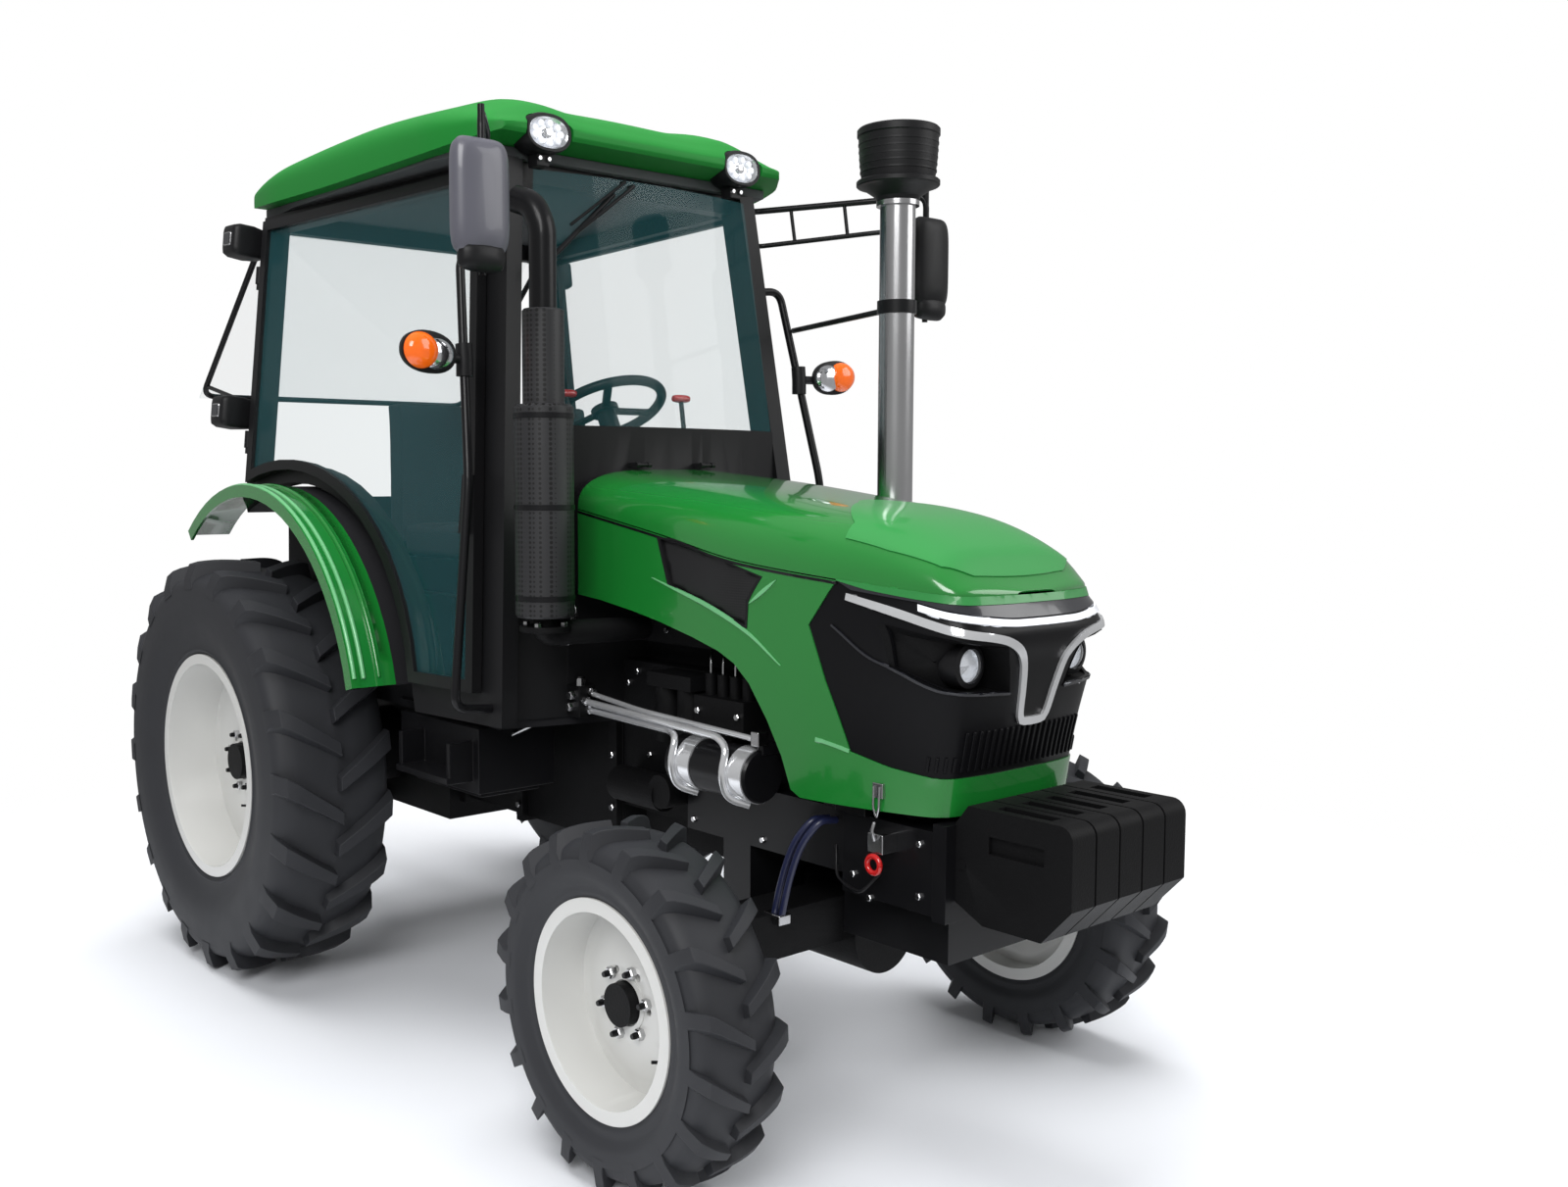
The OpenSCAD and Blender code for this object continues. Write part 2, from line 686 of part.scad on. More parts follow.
module hood_hinge_ears() {
    for (y = [barrel_y[0] - 14, barrel_y[1] + 1]) {
        block([screen_x - 15, y, hood_hinge.y - 6], [hood_hinge.x, y + 13, hood_hinge.y + 6]);
        on_hinge(y, y + 13, ear_r);
    }
    on_hinge(barrel_y[0] - 10, barrel_y[1] + 10, hood_pin_r);
}

// Round bar along the hood's hinge line
module on_hinge(y0, y1, r) {
    rod([hood_hinge.x, y0, hood_hinge.y], [hood_hinge.x, y1, hood_hinge.y], r);
}

module hood_hinge_barrels() {
    difference() {
        union() {
            on_hinge(barrel_y[0], barrel_y[1], barrel_r);
            block(
                [hood_hinge.x - 8, barrel_y[0], hood_hinge.y - 22],
                [hood_hinge.x + 8, barrel_y[1], hood_hinge.y]
            );
        }
        on_hinge(0, 200, hood_pin_r + fit);
    }
}

// Front wall of the cab, with the hood's hinges and the ribbed seal that the hood closes on
seal_x0 = screen_x - 43;

module firewall() at_origin() color(coat_black) {
    bowed(580, 494, floor_z, screen_z0, 0, 24);
    both_sides() hood_hinge_ears();
    difference() {
        loft([for (x = [seal_x0, hood_x0 - 0.5]) seal_ring(x, 6, 1345)]);
        loft([for (x = [seal_x0 - 1, hood_x0 + 0.5]) seal_ring(x, 46, 1300)]);
    }
}

// Rear window, held open below its top edge
window_tilt = 48;
window_hw = 600;
window_h = 840;
window_x = -cab_rear_x - 88;
window_z = ring_z - 55;

module rear_window() at_origin() color(clear_glass) {
    translate([window_x, 0, window_z]) rotate([0, window_tilt, 0])
        block([-8, -window_hw, -window_h], [0, window_hw, 0]);
    block([window_x - 6, -window_hw + 70, window_z - 4], [-cab_rear_x - 50, window_hw - 70, window_z + 15]);
}

// Roof cap as a skin over cross-sections along the cab
roof_half = [[-400, 500], [-330, 590], [0, 640], [500, 650], [950, 640], [1150, 600], [1240, 540]];
roof_edge = [[-400, 2690], [-330, 2665], [0, 2640], [500, 2628], [950, 2632], [1150, 2650], [1240, 2670]];
roof_top = [[-400, 2710], [-330, 2760], [0, 2822], [500, 2838], [950, 2808], [1150, 2752], [1240, 2690]];
brow = [[200, 0], [700, 0.6], [1000, 1], [1150, 1], [1240, 0.3]];
brow_h = 30;
brow_w = 110;

roof_skirt = 20;
roof_x = [-400, -330, -160, 0, 250, 500, 750, 950, 1060, 1150, 1240];
lamp_y = 376;
lamp_z = 2664;
lamp_x = 1190;
lamp_r = 44;
lamp_w = 46;

// Height of the brow above a work lamp
function brow_at(x, y) = brow_h * along(brow, x) * exp(-pow((abs(y) - lamp_y) / brow_w, 2));

function roof_section(x) = let (w = along(roof_half, x), e = along(roof_edge, x), t = along(roof_top, x))
    concat(
        [[x, -w, e - roof_skirt]],
        [for (i = [0 : 16]) let (a = 180 - i * 11.25, y = w * cos(a))
            [x, y, e + (t - e) * pow(max(sin(a), 0), 0.55) + brow_at(x, y) * max(sin(a), 0)]],
        [[x, w, e - roof_skirt]]
    );

// Oval work lamp, lying across the tractor
module lamp_oval(r, x0, x1) {
    translate([x0, lamp_y, lamp_z]) {
        for (y = [-lamp_w / 2, lamp_w / 2])
            translate([0, y, 0]) rotate([0, 90, 0]) cylinder(h = x1 - x0, r = r);
        block([0, -lamp_w / 2, -r], [x1 - x0, lamp_w / 2, r]);
    }
}

module roof() at_origin() color(paint_green) difference() {
    loft([for (x = roof_x) roof_section(x)]);
    both_sides() lamp_oval(lamp_r + fit, lamp_x, lamp_x + 200);
}

// Dark liner between the roof cap and the cab's frame
function liner_section(x) = let (w = along(roof_half, x) - 45, e = along(roof_edge, x) - roof_skirt)
    [[x, -w, ring_z], [x, -w, e], [x, w, e], [x, w, ring_z]];

module headliner() at_origin() color(liner_grey)
    loft([for (x = [-330, -160, 0, 250, 500, 750, 950, 1060, 1150]) liner_section(x)]);

// Mudguards over the rear wheels, with a lip along the outer edge and two beads along the top
lip_w = 28;
bead_h = 5;

module mudguards() at_origin() color(paint_green) both_sides() {
    guard_band(guard_r - guard_t, guard_r, guard_y0, guard_hw);
    guard_band(guard_r - guard_t - 22, guard_r - 1, guard_hw - 10, guard_hw);
    guard_band(guard_r - 1, guard_r + bead_h, guard_hw - lip_w, guard_hw);
    guard_band(guard_r - 1, guard_r + bead_h, guard_y0 + 42, guard_y0 + 64);
}

module guard_band(r0, r1, y0, y1) {
    side_plate(concat(arc(arch_c, r1, 128, 14, 24), arc(arch_c, r0, 14, 128, 24)), y0, y1);
}

// Inside the cab
module seat_base() at_origin() color(coat_black) {
    block([60, -200, floor_z + 300], [420, 200, floor_z + 420]);
    block([-150, -250, floor_z], [450, 250, floor_z + 300]);
}

module seat_cushion() at_origin() color(seat_grey)
    block([60, -250, floor_z + 420 + fit], [520, 250, floor_z + 540]);

module seat_back() at_origin() color(seat_grey)
    block([-60, -240, floor_z + 440], [60 - fit, 240, floor_z + 1000]);

wheel_c = [1000, 0, floor_z + 920];
column_tilt = 28;
column_dir = [-sin(column_tilt), 0, cos(column_tilt)];

module dash_console() at_origin() color(coat_black) {
    block([1080, -180, floor_z], [1200, 180, floor_z + 640]);
    rod(wheel_c - 400 * column_dir, wheel_c - (10 + fit) * column_dir, 32);
    block([1070, -330, floor_z + 600], [1190, 330, floor_z + 700]);
}

// Hand levers with round knobs, on the console
lever_y = [-215, 243];
knob_z = floor_z + 960;

module hand_levers() at_origin() color(lamp_red) for (y = lever_y) {
    rod([1130, y, floor_z + 700 + 5 * fit], [1090, y, knob_z], 8);
    translate([1090, y, knob_z]) sphere(22);
}

// Wiper on the windscreen
module wiper() at_origin() color(coat_black) {
    tube([[1254.3, -100, 2540], [1282, -100, 2540], [1266, -292, 2390]], 7);
    rod([1268, -165, 2510], [1256, -420, 2270], 9);
}

module steering_wheel() at_origin() color(coat_black) translate(wheel_c) rotate([0, -column_tilt, 0]) {
    rotate_extrude() translate([190, 0]) circle(16);
    cylinder(h = 20, r = 45, center = true);
    for (a = [90, 210, 330]) rotate([0, 0, a]) block([0, -12, -6], [190, 12, 6]);
}

rail_r = 13;

// Mirrors on two-bar arms from the front posts
mirror_c = [1626, 850, 2345];
mirror_size = [56, 160, 330];
arm_v = [1505, 1390];
arm_r = 10;

function arm_root(v, y) = side_point([front_at(v) + post_w / 2, y, v]);

module mirrors() at_origin() color(coat_black) both_sides() {
    top = mirror_c + [-12, -10, mirror_size.z / 2 + 70];
    knee = [[1480, 740, top.z - 10], [1490, 745, top.z - 112]];
    start = [for (v = arm_v) arm_root(v, 0)];
    tube([arm_root(arm_v[0], -door_t - run), start[0], knee[0], top, mirror_c], arm_r);
    tube([arm_root(arm_v[1], -door_t - run), start[1], knee[1], top - [0, 0, 105]], arm_r - 2);
    for (k = [0.3, 0.75])
        rod(start[0] + k * (knee[0] - start[0]), start[1] + k * (knee[1] - start[1]), arm_r - 4);
    translate(mirror_c - mirror_size / 2) cube(mirror_size);
}

// Tube rails beside the front posts, and the direction lamps clamped on them
rail_top = [1310, 75, 1240];
rail_mid = [1440, 85, 600];
rail_low = [1450, 85, -40];

module grab_rails() at_origin() color(coat_black) both_sides() on_cab_side()
    tube([
        [rail_top.x, -door_t - run, rail_top.z], rail_top, rail_mid, rail_low,
        [rail_low.x, -door_t - run, rail_low.z]
    ], rail_r);

lamp_v = 935;

module turn_lamps() at_origin() color(amber) both_sides() on_cab_side() {
    for (y = [185, 250]) translate([1362, y, lamp_v]) rotate([0, 90, 0]) cylinder(h = 68, r = 42);
    block([1362, 185, lamp_v - 42], [1430, 250, lamp_v + 42]);
    rod([1373, 80 + rail_r + fit, lamp_v], [1385, 165, lamp_v], 9);
}

rear_lamp_v = [785, 1390];

// Work lamps in the roof's brows
module work_lamps() at_origin() color(lamp_white) both_sides() lamp_oval(lamp_r, lamp_x, lamp_x + 45);

// Work lamps behind the doors, on the rear posts
module rear_lamps() at_origin() color(coat_black) both_sides() on_cab_side() for (v = rear_lamp_v) {
    block([-135, -door_t - run, v], [-30, 60, v + 115]);
    block([-125, 59, v + 15], [-40, 84, v + 105]);
}

module tail_lamps() at_origin() color(lamp_red) both_sides()
    translate([arch_c.x, 0, arch_c.y]) rotate([0, -120, 0])
        block([guard_r + bead_h + fit, guard_y0 + 38, -35], [guard_r + bead_h + 18, guard_hw - 30, 35]);

// Hood: cross-sections at fractions of its length, from the cab to the front
hood_x1 = front_x + 578;
hood_l = hood_x1 - hood_x0;
hood_low = 880;
hood_f = [0, 0.115, 0.284, 0.413, 0.581, 0.673, 0.767, 0.86, 0.926, 0.97, 0.987, 0.996, 1];
nose_f = [0.66, 0.767, 0.86, 0.926, 0.97, 0.987, 0.996, 1];
hood_top = [[0, 1694], [0.284, 1660], [0.581, 1612], [0.767, 1577], [0.926, 1498], [0.97, 1436], [1, 1406]];
crease = [[0, 1580], [0.285, 1516], [0.511, 1460], [0.736, 1430], [0.926, 1405], [1, 1396]];
hood_half = [
    [0, 1], [0.413, 1], [0.673, 0.964], [0.822, 0.88], [0.933, 0.768],
    [0.97, 0.698], [0.987, 0.6], [0.996, 0.42], [1, 0.21]
];
front_ramp = [[0.68, 0], [0.93, 1]];
front_lean = [[880, -48], [973, -34], [1240, 25], [1306, 42], [1350, 25], [1396, 0]];
front_swell = [[1000, 0], [1306, 0.07], [1350, 0.05], [1396, 0]];
side_z = [hood_low, 973, 1120, 1306, 1350];

// One point of the skin: the front leans and swells with height
function skin_point(f, t, y, z) = let (k = along(front_ramp, f)) [
    hood_x0 + f * hood_l + k * along(front_lean, z) - t * along([[0.9, 0], [1, 1]], f),
    y * (1 + k * along(front_swell, z)), z
];

function hood_section(f, t) =
    let (w = hood_hw * along(hood_half, f) - t, e = along(crease, f), h = along(hood_top, f) - t) concat(
        [for (z = side_z) skin_point(f, t, -w, z)],
        [for (i = [0 : 10]) let (a = 180 - i * 18, c = cos(a), s = max(sin(a), 0))
            skin_point(f, t, w * sign(c) * pow(abs(c), 0.55), e + (h - e) * pow(s, 0.8))],
        [for (i = [len(side_z) - 1 : -1 : 0]) skin_point(f, t, w, side_z[i])]
    );

// Section of the seal behind the hood, drawn in by t
function seal_ring(x, t, z_low) = let (ring = hood_section(0, t), n = len(side_z)) concat(
    [[x, t - hood_hw, z_low]],
    [for (i = [n : len(ring) - n - 1]) [x, ring[i].y, ring[i].z]],
    [[x, hood_hw - t, z_low]]
);

module hood_solid(t, stations) {
    loft([for (f = stations) hood_section(f, t)]);
}

// Outlines seen from the side, as [fraction of the length, height]
side_cut = [
    [-0.03, 860], [-0.03, 1342], [0.107, 1335], [0.303, 1293], [0.423, 1253],
    [0.509, 1203], [0.556, 1093], [0.602, 976], [0.632, 860]
];
nose_cut = [[0.749, 1418], [0.688, 1320], [0.761, 1019], [0.926, 973], [1.08, 973], [1.08, 1392]];
vent_cut = [[0.278, 1509], [0.568, 1430], [0.541, 1292], [0.338, 1375]];

module side_prism(outline, y0 = -500, y1 = 500) {
    side_plate([for (p = outline) [hood_x0 + p.x * hood_l, p.y]], y0, y1);
}

module hood_shell() at_origin() color(paint_green) {
    difference() {
        hood_solid(0, hood_f);
        translate([0, 0, -hood_t]) hood_solid(hood_t, concat([-0.01], hood_f));
        side_prism(side_cut);
        side_prism(nose_cut);
        side_prism(vent_cut);
    }
    both_sides() hood_hinge_barrels();
}

// Dark plates in the hood's side openings
vent_mid = [0.43, 1400];
vent_shrink = 0.005;

module side_vents() at_origin() color(coat_black) both_sides()
    side_prism([for (p = vent_cut) p + (vent_mid - p) * vent_shrink], hood_hw - 18, hood_hw - 10);

// Nose below the hood: a dark shell with lamp buckets and louvres
strip_z = [1296, 1320];
nose_t = 7;
louvre_n = 5;
bucket_r = 64;
lamp_c = [hood_x1 - 58, 186, 1238];

module nose_grille() at_origin() color(coat_black) difference() {
    union() {
        difference() {
            intersection() {
                hood_solid(nose_t, nose_f);
                side_prism(nose_cut);
            }
            hood_solid(nose_t + 22, nose_f);
        }
        both_sides() translate(lamp_c - [10, 0, 0]) rotate([0, 90, 0]) cylinder(h = 45, r = bucket_r);
    }
    both_sides() translate(lamp_c) rotate([0, 90, 0]) cylinder(h = 200, r = bucket_r - 8);
    for (i = [0 : louvre_n - 1])
        translate([hood_x1 - 250 + i * 34, 0, 0]) block([0, -400, 1020], [10, 400, 1150]);
}

// Round lamps in their buckets, and the light strip round the nose
module head_lamps() at_origin() color(lamp_white) {
    both_sides() translate(lamp_c) rotate([0, 90, 0]) cylinder(h = 34, r = 40);
    difference() {
        intersection() {
            hood_solid(1, nose_f);
            block([hood_x1 - 260, -500, strip_z[0]], [hood_x1 + 100, 500, strip_z[1]]);
        }
        hood_solid(nose_t - fit, nose_f);
    }
}

// Three-point hitch and tow hitch
arm_tip = [shaft_x - 310, shaft_z + 45];
link_eye = [-570, 490];
plate_t = 22;
arm_y0 = case_hw + 40;
arm_y1 = arm_y0 + plate_t;
link_y0 = arm_y1 + 30;
link_y1 = link_y0 + plate_t;

module lift_arms() at_origin() color(cast_black) {
    rod([shaft_x, -arm_y1, shaft_z], [shaft_x, arm_y1, shaft_z], shaft_r);
    both_sides() side_plate(concat(
        arc([shaft_x, shaft_z], 52, 70, -100, 10), [[arm_tip.x, arm_tip.y - 26]],
        arc(arm_tip, 26, 200, 100, 8)
    ), arm_y0, arm_y1);
}

module lift_rods() at_origin() color(cast_black) both_sides() {
    rod([arm_tip.x, arm_y1 + 14 + fit, arm_tip.y], [link_eye.x, arm_y1 + 14 + fit, link_eye.y], 13);
    for (p = [arm_tip, link_eye])
        translate([p.x, arm_y1 + fit, p.y]) rotate([-90, 0, 0]) cylinder(h = 28, r = 24);
}

module lower_links() at_origin() color(cast_black) both_sides() difference() {
    side_plate([
        [-110, 520], [-110, 440], [links_x + 60, 450], [links_x, 462], [links_x, 518], [links_x + 60, 530]
    ], link_y0, link_y1);
    for (p = [[link_pin.x, link_pin.y, link_pin_r + fit], [links_x + 30, 490, 14.4]])
        translate([p.x, 0, p.y]) rotate([-90, 0, 0]) cylinder(h = 900, r = p.z);
}

module tow_hitch() at_origin() color(coat_black) difference() {
    union() {
        block([-560, -45, 400], [-200, 45, 440]);
        block([-260, -45, 440], [-200, 45, 480]);
    }
    translate([-515, 0, 390]) cylinder(h = 60, r = 16);
}

engine();
transmission();
front_frame();
front_axle();
front_weights();
radiator();
exhaust();
intake_stack();
hydraulic_lines();
side_steps();
cab_tub();
cab_frame();
firewall();
roof();
headliner();
windscreen();
rear_window();
mudguards();
seat_base();
seat_cushion();
seat_back();
dash_console();
steering_wheel();
mirrors();
grab_rails();
turn_lamps();
work_lamps();
rear_lamps();
tail_lamps();
hand_levers();
wiper();
hood_shell();
side_vents();
nose_grille();
head_lamps();
door_right();
door_glass_right();
door_left();
door_glass_left();
knuckle_right();
knuckle_left();
steering_rod();
front_tyre_right();
front_rim_right();
front_tyre_left();
front_rim_left();
rear_tyre_right();
rear_rim_right();
rear_tyre_left();
rear_rim_left();
lift_arms();
lift_rods();
lower_links();
tow_hitch();
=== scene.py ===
"""Looks of the farm tractor: finished surfaces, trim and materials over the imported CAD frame."""

import json
import math

import bpy
import bmesh
import numpy as np
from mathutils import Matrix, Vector

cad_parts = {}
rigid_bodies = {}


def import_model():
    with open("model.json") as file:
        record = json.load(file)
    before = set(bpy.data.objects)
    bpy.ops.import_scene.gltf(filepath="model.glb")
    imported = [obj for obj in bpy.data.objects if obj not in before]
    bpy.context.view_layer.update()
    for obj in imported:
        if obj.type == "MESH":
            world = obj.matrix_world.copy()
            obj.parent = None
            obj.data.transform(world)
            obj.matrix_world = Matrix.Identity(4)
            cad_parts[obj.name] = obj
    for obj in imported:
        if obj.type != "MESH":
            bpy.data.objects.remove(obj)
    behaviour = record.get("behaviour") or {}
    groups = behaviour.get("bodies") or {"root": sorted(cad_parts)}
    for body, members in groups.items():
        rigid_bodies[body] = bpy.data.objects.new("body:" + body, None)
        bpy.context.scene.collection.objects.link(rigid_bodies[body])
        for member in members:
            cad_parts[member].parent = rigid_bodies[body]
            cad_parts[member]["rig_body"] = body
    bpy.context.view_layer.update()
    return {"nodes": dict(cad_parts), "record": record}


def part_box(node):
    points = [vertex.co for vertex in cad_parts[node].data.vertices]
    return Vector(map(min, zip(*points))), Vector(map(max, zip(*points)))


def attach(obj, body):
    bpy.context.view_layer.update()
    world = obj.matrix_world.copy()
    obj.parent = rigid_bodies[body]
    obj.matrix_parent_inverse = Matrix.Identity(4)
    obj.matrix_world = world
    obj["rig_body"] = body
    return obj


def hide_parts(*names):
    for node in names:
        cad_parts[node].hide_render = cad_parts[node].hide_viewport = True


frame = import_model()
MIDDLE_X = 1014.0
SIDES = (("right", -1), ("left", 1))
AHEAD, ACROSS, UP, OUT_RIGHT = (1, 0, 0), (0, 1, 0), (0, 0, 1), (0, -1, 0)


def body_of(node):
    return frame["nodes"][node]["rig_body"]


HOOD, CHASSIS = body_of("hood_shell"), body_of("engine")


def row(points):
    """Millimetres from the rear axle -> metres in the row frame."""
    p = np.array(points, float).reshape(-1, 3)
    return (p - [MIDDLE_X, 0, 0]) / 1000


def flowing(table, x):
    """Smooth curve through a table of [x, value] pairs, with no overshoot."""
    t = np.array(table, float)
    xs, ys = t[:, 0], t[:, 1]
    gap = np.diff(xs)
    slope = np.diff(ys) / gap
    lean = np.zeros_like(ys)
    same = slope[:-1] * slope[1:] > 0
    lean[1:-1][same] = 2 * slope[:-1][same] * slope[1:][same] / (slope[:-1][same] + slope[1:][same])
    lean[0], lean[-1] = slope[0], slope[-1]
    x = np.clip(np.asarray(x, float), xs[0], xs[-1])
    k = np.clip(np.searchsorted(xs, x, side="right") - 1, 0, len(xs) - 2)
    u = (x - xs[k]) / gap[k]
    return ((2 * u**3 - 3 * u**2 + 1) * ys[k] + (u**3 - 2 * u**2 + u) * gap[k] * lean[k]
            + (3 * u**2 - 2 * u**3) * ys[k + 1] + (u**3 - u**2) * gap[k] * lean[k + 1])


def flowing_path(points, step=12.0):
    """Smooth path through points, with a point about every step millimetres."""
    p = np.array(points, float)
    run = np.concatenate([[0], np.cumsum(np.linalg.norm(np.diff(p, axis=0), axis=1))])
    at = np.linspace(0, run[-1], max(int(run[-1] / step), len(p)) + 1)
    return np.stack([flowing(np.stack([run, p[:, i]], 1), at) for i in range(p.shape[1])], 1)


def rounded_path(points, radius=40.0, steps=6):
    """Straight runs joined by round bends."""
    p = np.array(points, float)
    path = [p[0]]
    for before, corner, after in zip(p[:-2], p[1:-1], p[2:]):
        a, b = before - corner, after - corner
        cut = min(radius, 0.45 * np.linalg.norm(a), 0.45 * np.linalg.norm(b))
        start = corner + a / np.linalg.norm(a) * cut
        end = corner + b / np.linalg.norm(b) * cut
        for t in np.linspace(0, 1, steps):
            path.append((1 - t) ** 2 * start + 2 * t * (1 - t) * corner + t**2 * end)
    path.append(p[-1])
    return np.array(path)


# Materials

def node_in(tree, kind, **settings):
    node = tree.nodes.new("ShaderNode" + kind)
    for name, value in settings.items():
        setattr(node, name, value)
    return node


def feed(tree, socket, value):
    """Links a socket to another one, or sets its constant."""
    if isinstance(value, bpy.types.NodeSocket):
        tree.links.new(value, socket)
    else:
        socket.default_value = value


def maths(tree, operation, *values, clamp=False):
    node = node_in(tree, "Math", operation=operation, use_clamp=clamp)
    for socket, value in zip(node.inputs, values):
        feed(tree, socket, value)
    return node.outputs[0]


def textured(tree, kind, scale):
    """Texture in the object's own coordinates."""
    node = node_in(tree, kind)
    feed(tree, node.inputs["Vector"], node_in(tree, "TexCoord").outputs["Object"])
    feed(tree, node.inputs["Scale"], scale)
    return node


def effect(name, inputs, outputs, build):
    """One shader node group, built once and shared by the materials that use it."""
    group = bpy.data.node_groups.get(name)
    if group:
        return group
    group = bpy.data.node_groups.new(name, "ShaderNodeTree")
    for label, kind, value in inputs:
        socket = group.interface.new_socket(label, in_out="INPUT", socket_type=kind)
        socket.default_value = value
    for label, kind in outputs:
        group.interface.new_socket(label, in_out="OUTPUT", socket_type=kind)
    start = group.nodes.new("NodeGroupInput")
    end = group.nodes.new("NodeGroupOutput")
    build(group, start.outputs, end.inputs)
    return group


def mottle_effect():
    """Slow colour drift and uneven gloss over a surface."""
    def build(group, given, result):
        noise = textured(group, "TexNoise", given["Scale"])
        noise.inputs["Detail"].default_value = 5
        spread = maths(group, "SUBTRACT", noise.outputs["Fac"], 0.5)
        amount = maths(group, "MULTIPLY", spread, given["Amount"])
        tint = node_in(group, "VectorMath", operation="SCALE")
        feed(group, tint.inputs[0], given["Color"])
        feed(group, tint.inputs["Scale"], maths(group, "ADD", amount, 1))
        feed(group, result["Color"], tint.outputs[0])
        feed(group, result["Roughness"], maths(group, "MULTIPLY_ADD", amount, 0.6, given["Roughness"]))
    return effect(
        "Mottle",
        [("Color", "NodeSocketColor", (0.5, 0.5, 0.5, 1)), ("Roughness", "NodeSocketFloat", 0.5),
         ("Scale", "NodeSocketFloat", 6.0), ("Amount", "NodeSocketFloat", 0.15)],
        [("Color", "NodeSocketColor"), ("Roughness", "NodeSocketFloat")], build)


def grain_effect():
    """Fine grain of a casting, moulding or rubber skin, as a height."""
    def build(group, given, result):
        noise = textured(group, "TexNoise", given["Scale"])
        noise.inputs["Detail"].default_value = 3
        feed(group, result["Height"], noise.outputs["Fac"])
    return effect("Grain", [("Scale", "NodeSocketFloat", 300.0)], [("Height", "NodeSocketFloat")], build)


def hole_effect():
    """Even rows of round holes, as a mask that is 1 in a hole."""
    def build(group, given, result):
        cells = textured(group, "TexVoronoi", given["Scale"])
        cells.inputs["Randomness"].default_value = 0
        feed(group, result["Mask"], maths(group, "LESS_THAN", cells.outputs["Distance"], given["Size"]))
    return effect("Holes", [("Scale", "NodeSocketFloat", 70.0), ("Size", "NodeSocketFloat", 0.33)],
                  [("Mask", "NodeSocketFloat")], build)


def shader_of(material):
    return material.node_tree.nodes["Principled BSDF"].inputs


def use(tree, group, **values):
    """A shared effect in a material, with its own settings."""
    node = node_in(tree, "Group", node_tree=group)
    for name, value in values.items():
        node.inputs[name].default_value = value
    return node


def finish_of(name, color, rough, metal=0.0, coat=0.0, drift=0.12, drift_scale=5.0, grain=0.0,
              grain_scale=250.0, spec=0.5):
    """Painted, moulded, cast or metal surface."""
    material = bpy.data.materials.new(name)
    material.use_nodes = True
    tree, shader = material.node_tree, shader_of(material)
    shader["Metallic"].default_value = metal
    shader["Coat Weight"].default_value = coat
    shader["Coat Roughness"].default_value = 0.05
    shader["Specular IOR Level"].default_value = spec
    mottle = use(tree, mottle_effect(), Color=(*color, 1), Roughness=rough, Scale=drift_scale, Amount=drift)
    mottle.name = "mottle"
    feed(tree, shader["Base Color"], mottle.outputs["Color"])
    feed(tree, shader["Roughness"], mottle.outputs["Roughness"])
    if grain:
        bump = node_in(tree, "Bump")
        bump.inputs["Strength"].default_value = grain
        bump.inputs["Distance"].default_value = 0.002
        feed(tree, bump.inputs["Height"], use(tree, grain_effect(), Scale=grain_scale).outputs["Height"])
        feed(tree, shader["Normal"], bump.outputs["Normal"])
    return material


def pierced(name, color, hole_color, rough, scale, size):
    """Sheet with rows of small round holes that look into the dark."""
    material = finish_of(name, color, rough, drift=0.2)
    tree = material.node_tree
    mix = node_in(tree, "Mix", data_type="RGBA")
    feed(tree, mix.inputs["Factor"], use(tree, hole_effect(), Scale=scale, Size=size).outputs["Mask"])
    feed(tree, mix.inputs[6], tree.nodes["mottle"].outputs["Color"])
    feed(tree, mix.inputs[7], (*hole_color, 1))
    feed(tree, shader_of(material)["Base Color"], mix.outputs[2])
    return material


def glazing(name, color, alpha, rough=0.02):
    """Thin tinted glass: mostly clear, with a mirror-like skin on its front faces."""
    material = finish_of(name, color, rough, drift=0.05, drift_scale=2.0, spec=0.8)
    tree = material.node_tree
    fresnel = node_in(tree, "Fresnel")
    fresnel.inputs["IOR"].default_value = 1.5
    front = maths(tree, "SUBTRACT", 1, node_in(tree, "NewGeometry").outputs["Backfacing"])
    cover = maths(tree, "MULTIPLY", maths(tree, "ADD", fresnel.outputs[0], alpha), front, clamp=True)
    feed(tree, shader_of(material)["Alpha"], cover)
    return material


def glow(material, color, strength):
    """Light strip or lit lens."""
    shader_of(material)["Emission Color"].default_value = (*color, 1)
    shader_of(material)["Emission Strength"].default_value = strength
    return material


GREEN = finish_of("green paint", (0.011, 0.205, 0.028), 0.20, coat=1.0, drift=0.06)
ROOF_GREEN = finish_of("roof paint", (0.011, 0.205, 0.028), 0.5, drift=0.08, spec=0.22)
LID_GREEN = finish_of("green lid paint", (0.022, 0.255, 0.050), 0.42, coat=0.5, drift=0.06)
# Lighter green as a painted highlight: it stands for light caught along the hood ridges, a band crease and the
# mudguard beads.
HIGHLIGHT_GREEN = finish_of("painted highlight green", (0.16, 0.52, 0.22), 0.30, coat=0.8, drift=0.06)
BLACK = finish_of("black paint", (0.006, 0.006, 0.007), 0.34, coat=0.12, drift=0.2, spec=0.22)
CAST = finish_of("black casting", (0.005, 0.005, 0.0055), 0.55, drift=0.35, grain=0.35, grain_scale=180,
                 spec=0.15)
PLASTIC = finish_of("black plastic", (0.010, 0.010, 0.011), 0.42, drift=0.15, grain=0.06, grain_scale=700,
                    spec=0.25)
NOSE = finish_of("nose plastic", (0.0045, 0.0045, 0.0055), 0.34, coat=0.04, drift=0.12, spec=0.17)
VISOR = finish_of("visor plastic", (0.016, 0.017, 0.022), 0.22, coat=0.6, drift=0.08)
BELLOWS = finish_of("seal rubber", (0.012, 0.012, 0.013), 0.6, drift=0.2)
WHITE = finish_of("white paint", (0.66, 0.66, 0.64), 0.28, coat=0.5, drift=0.04)
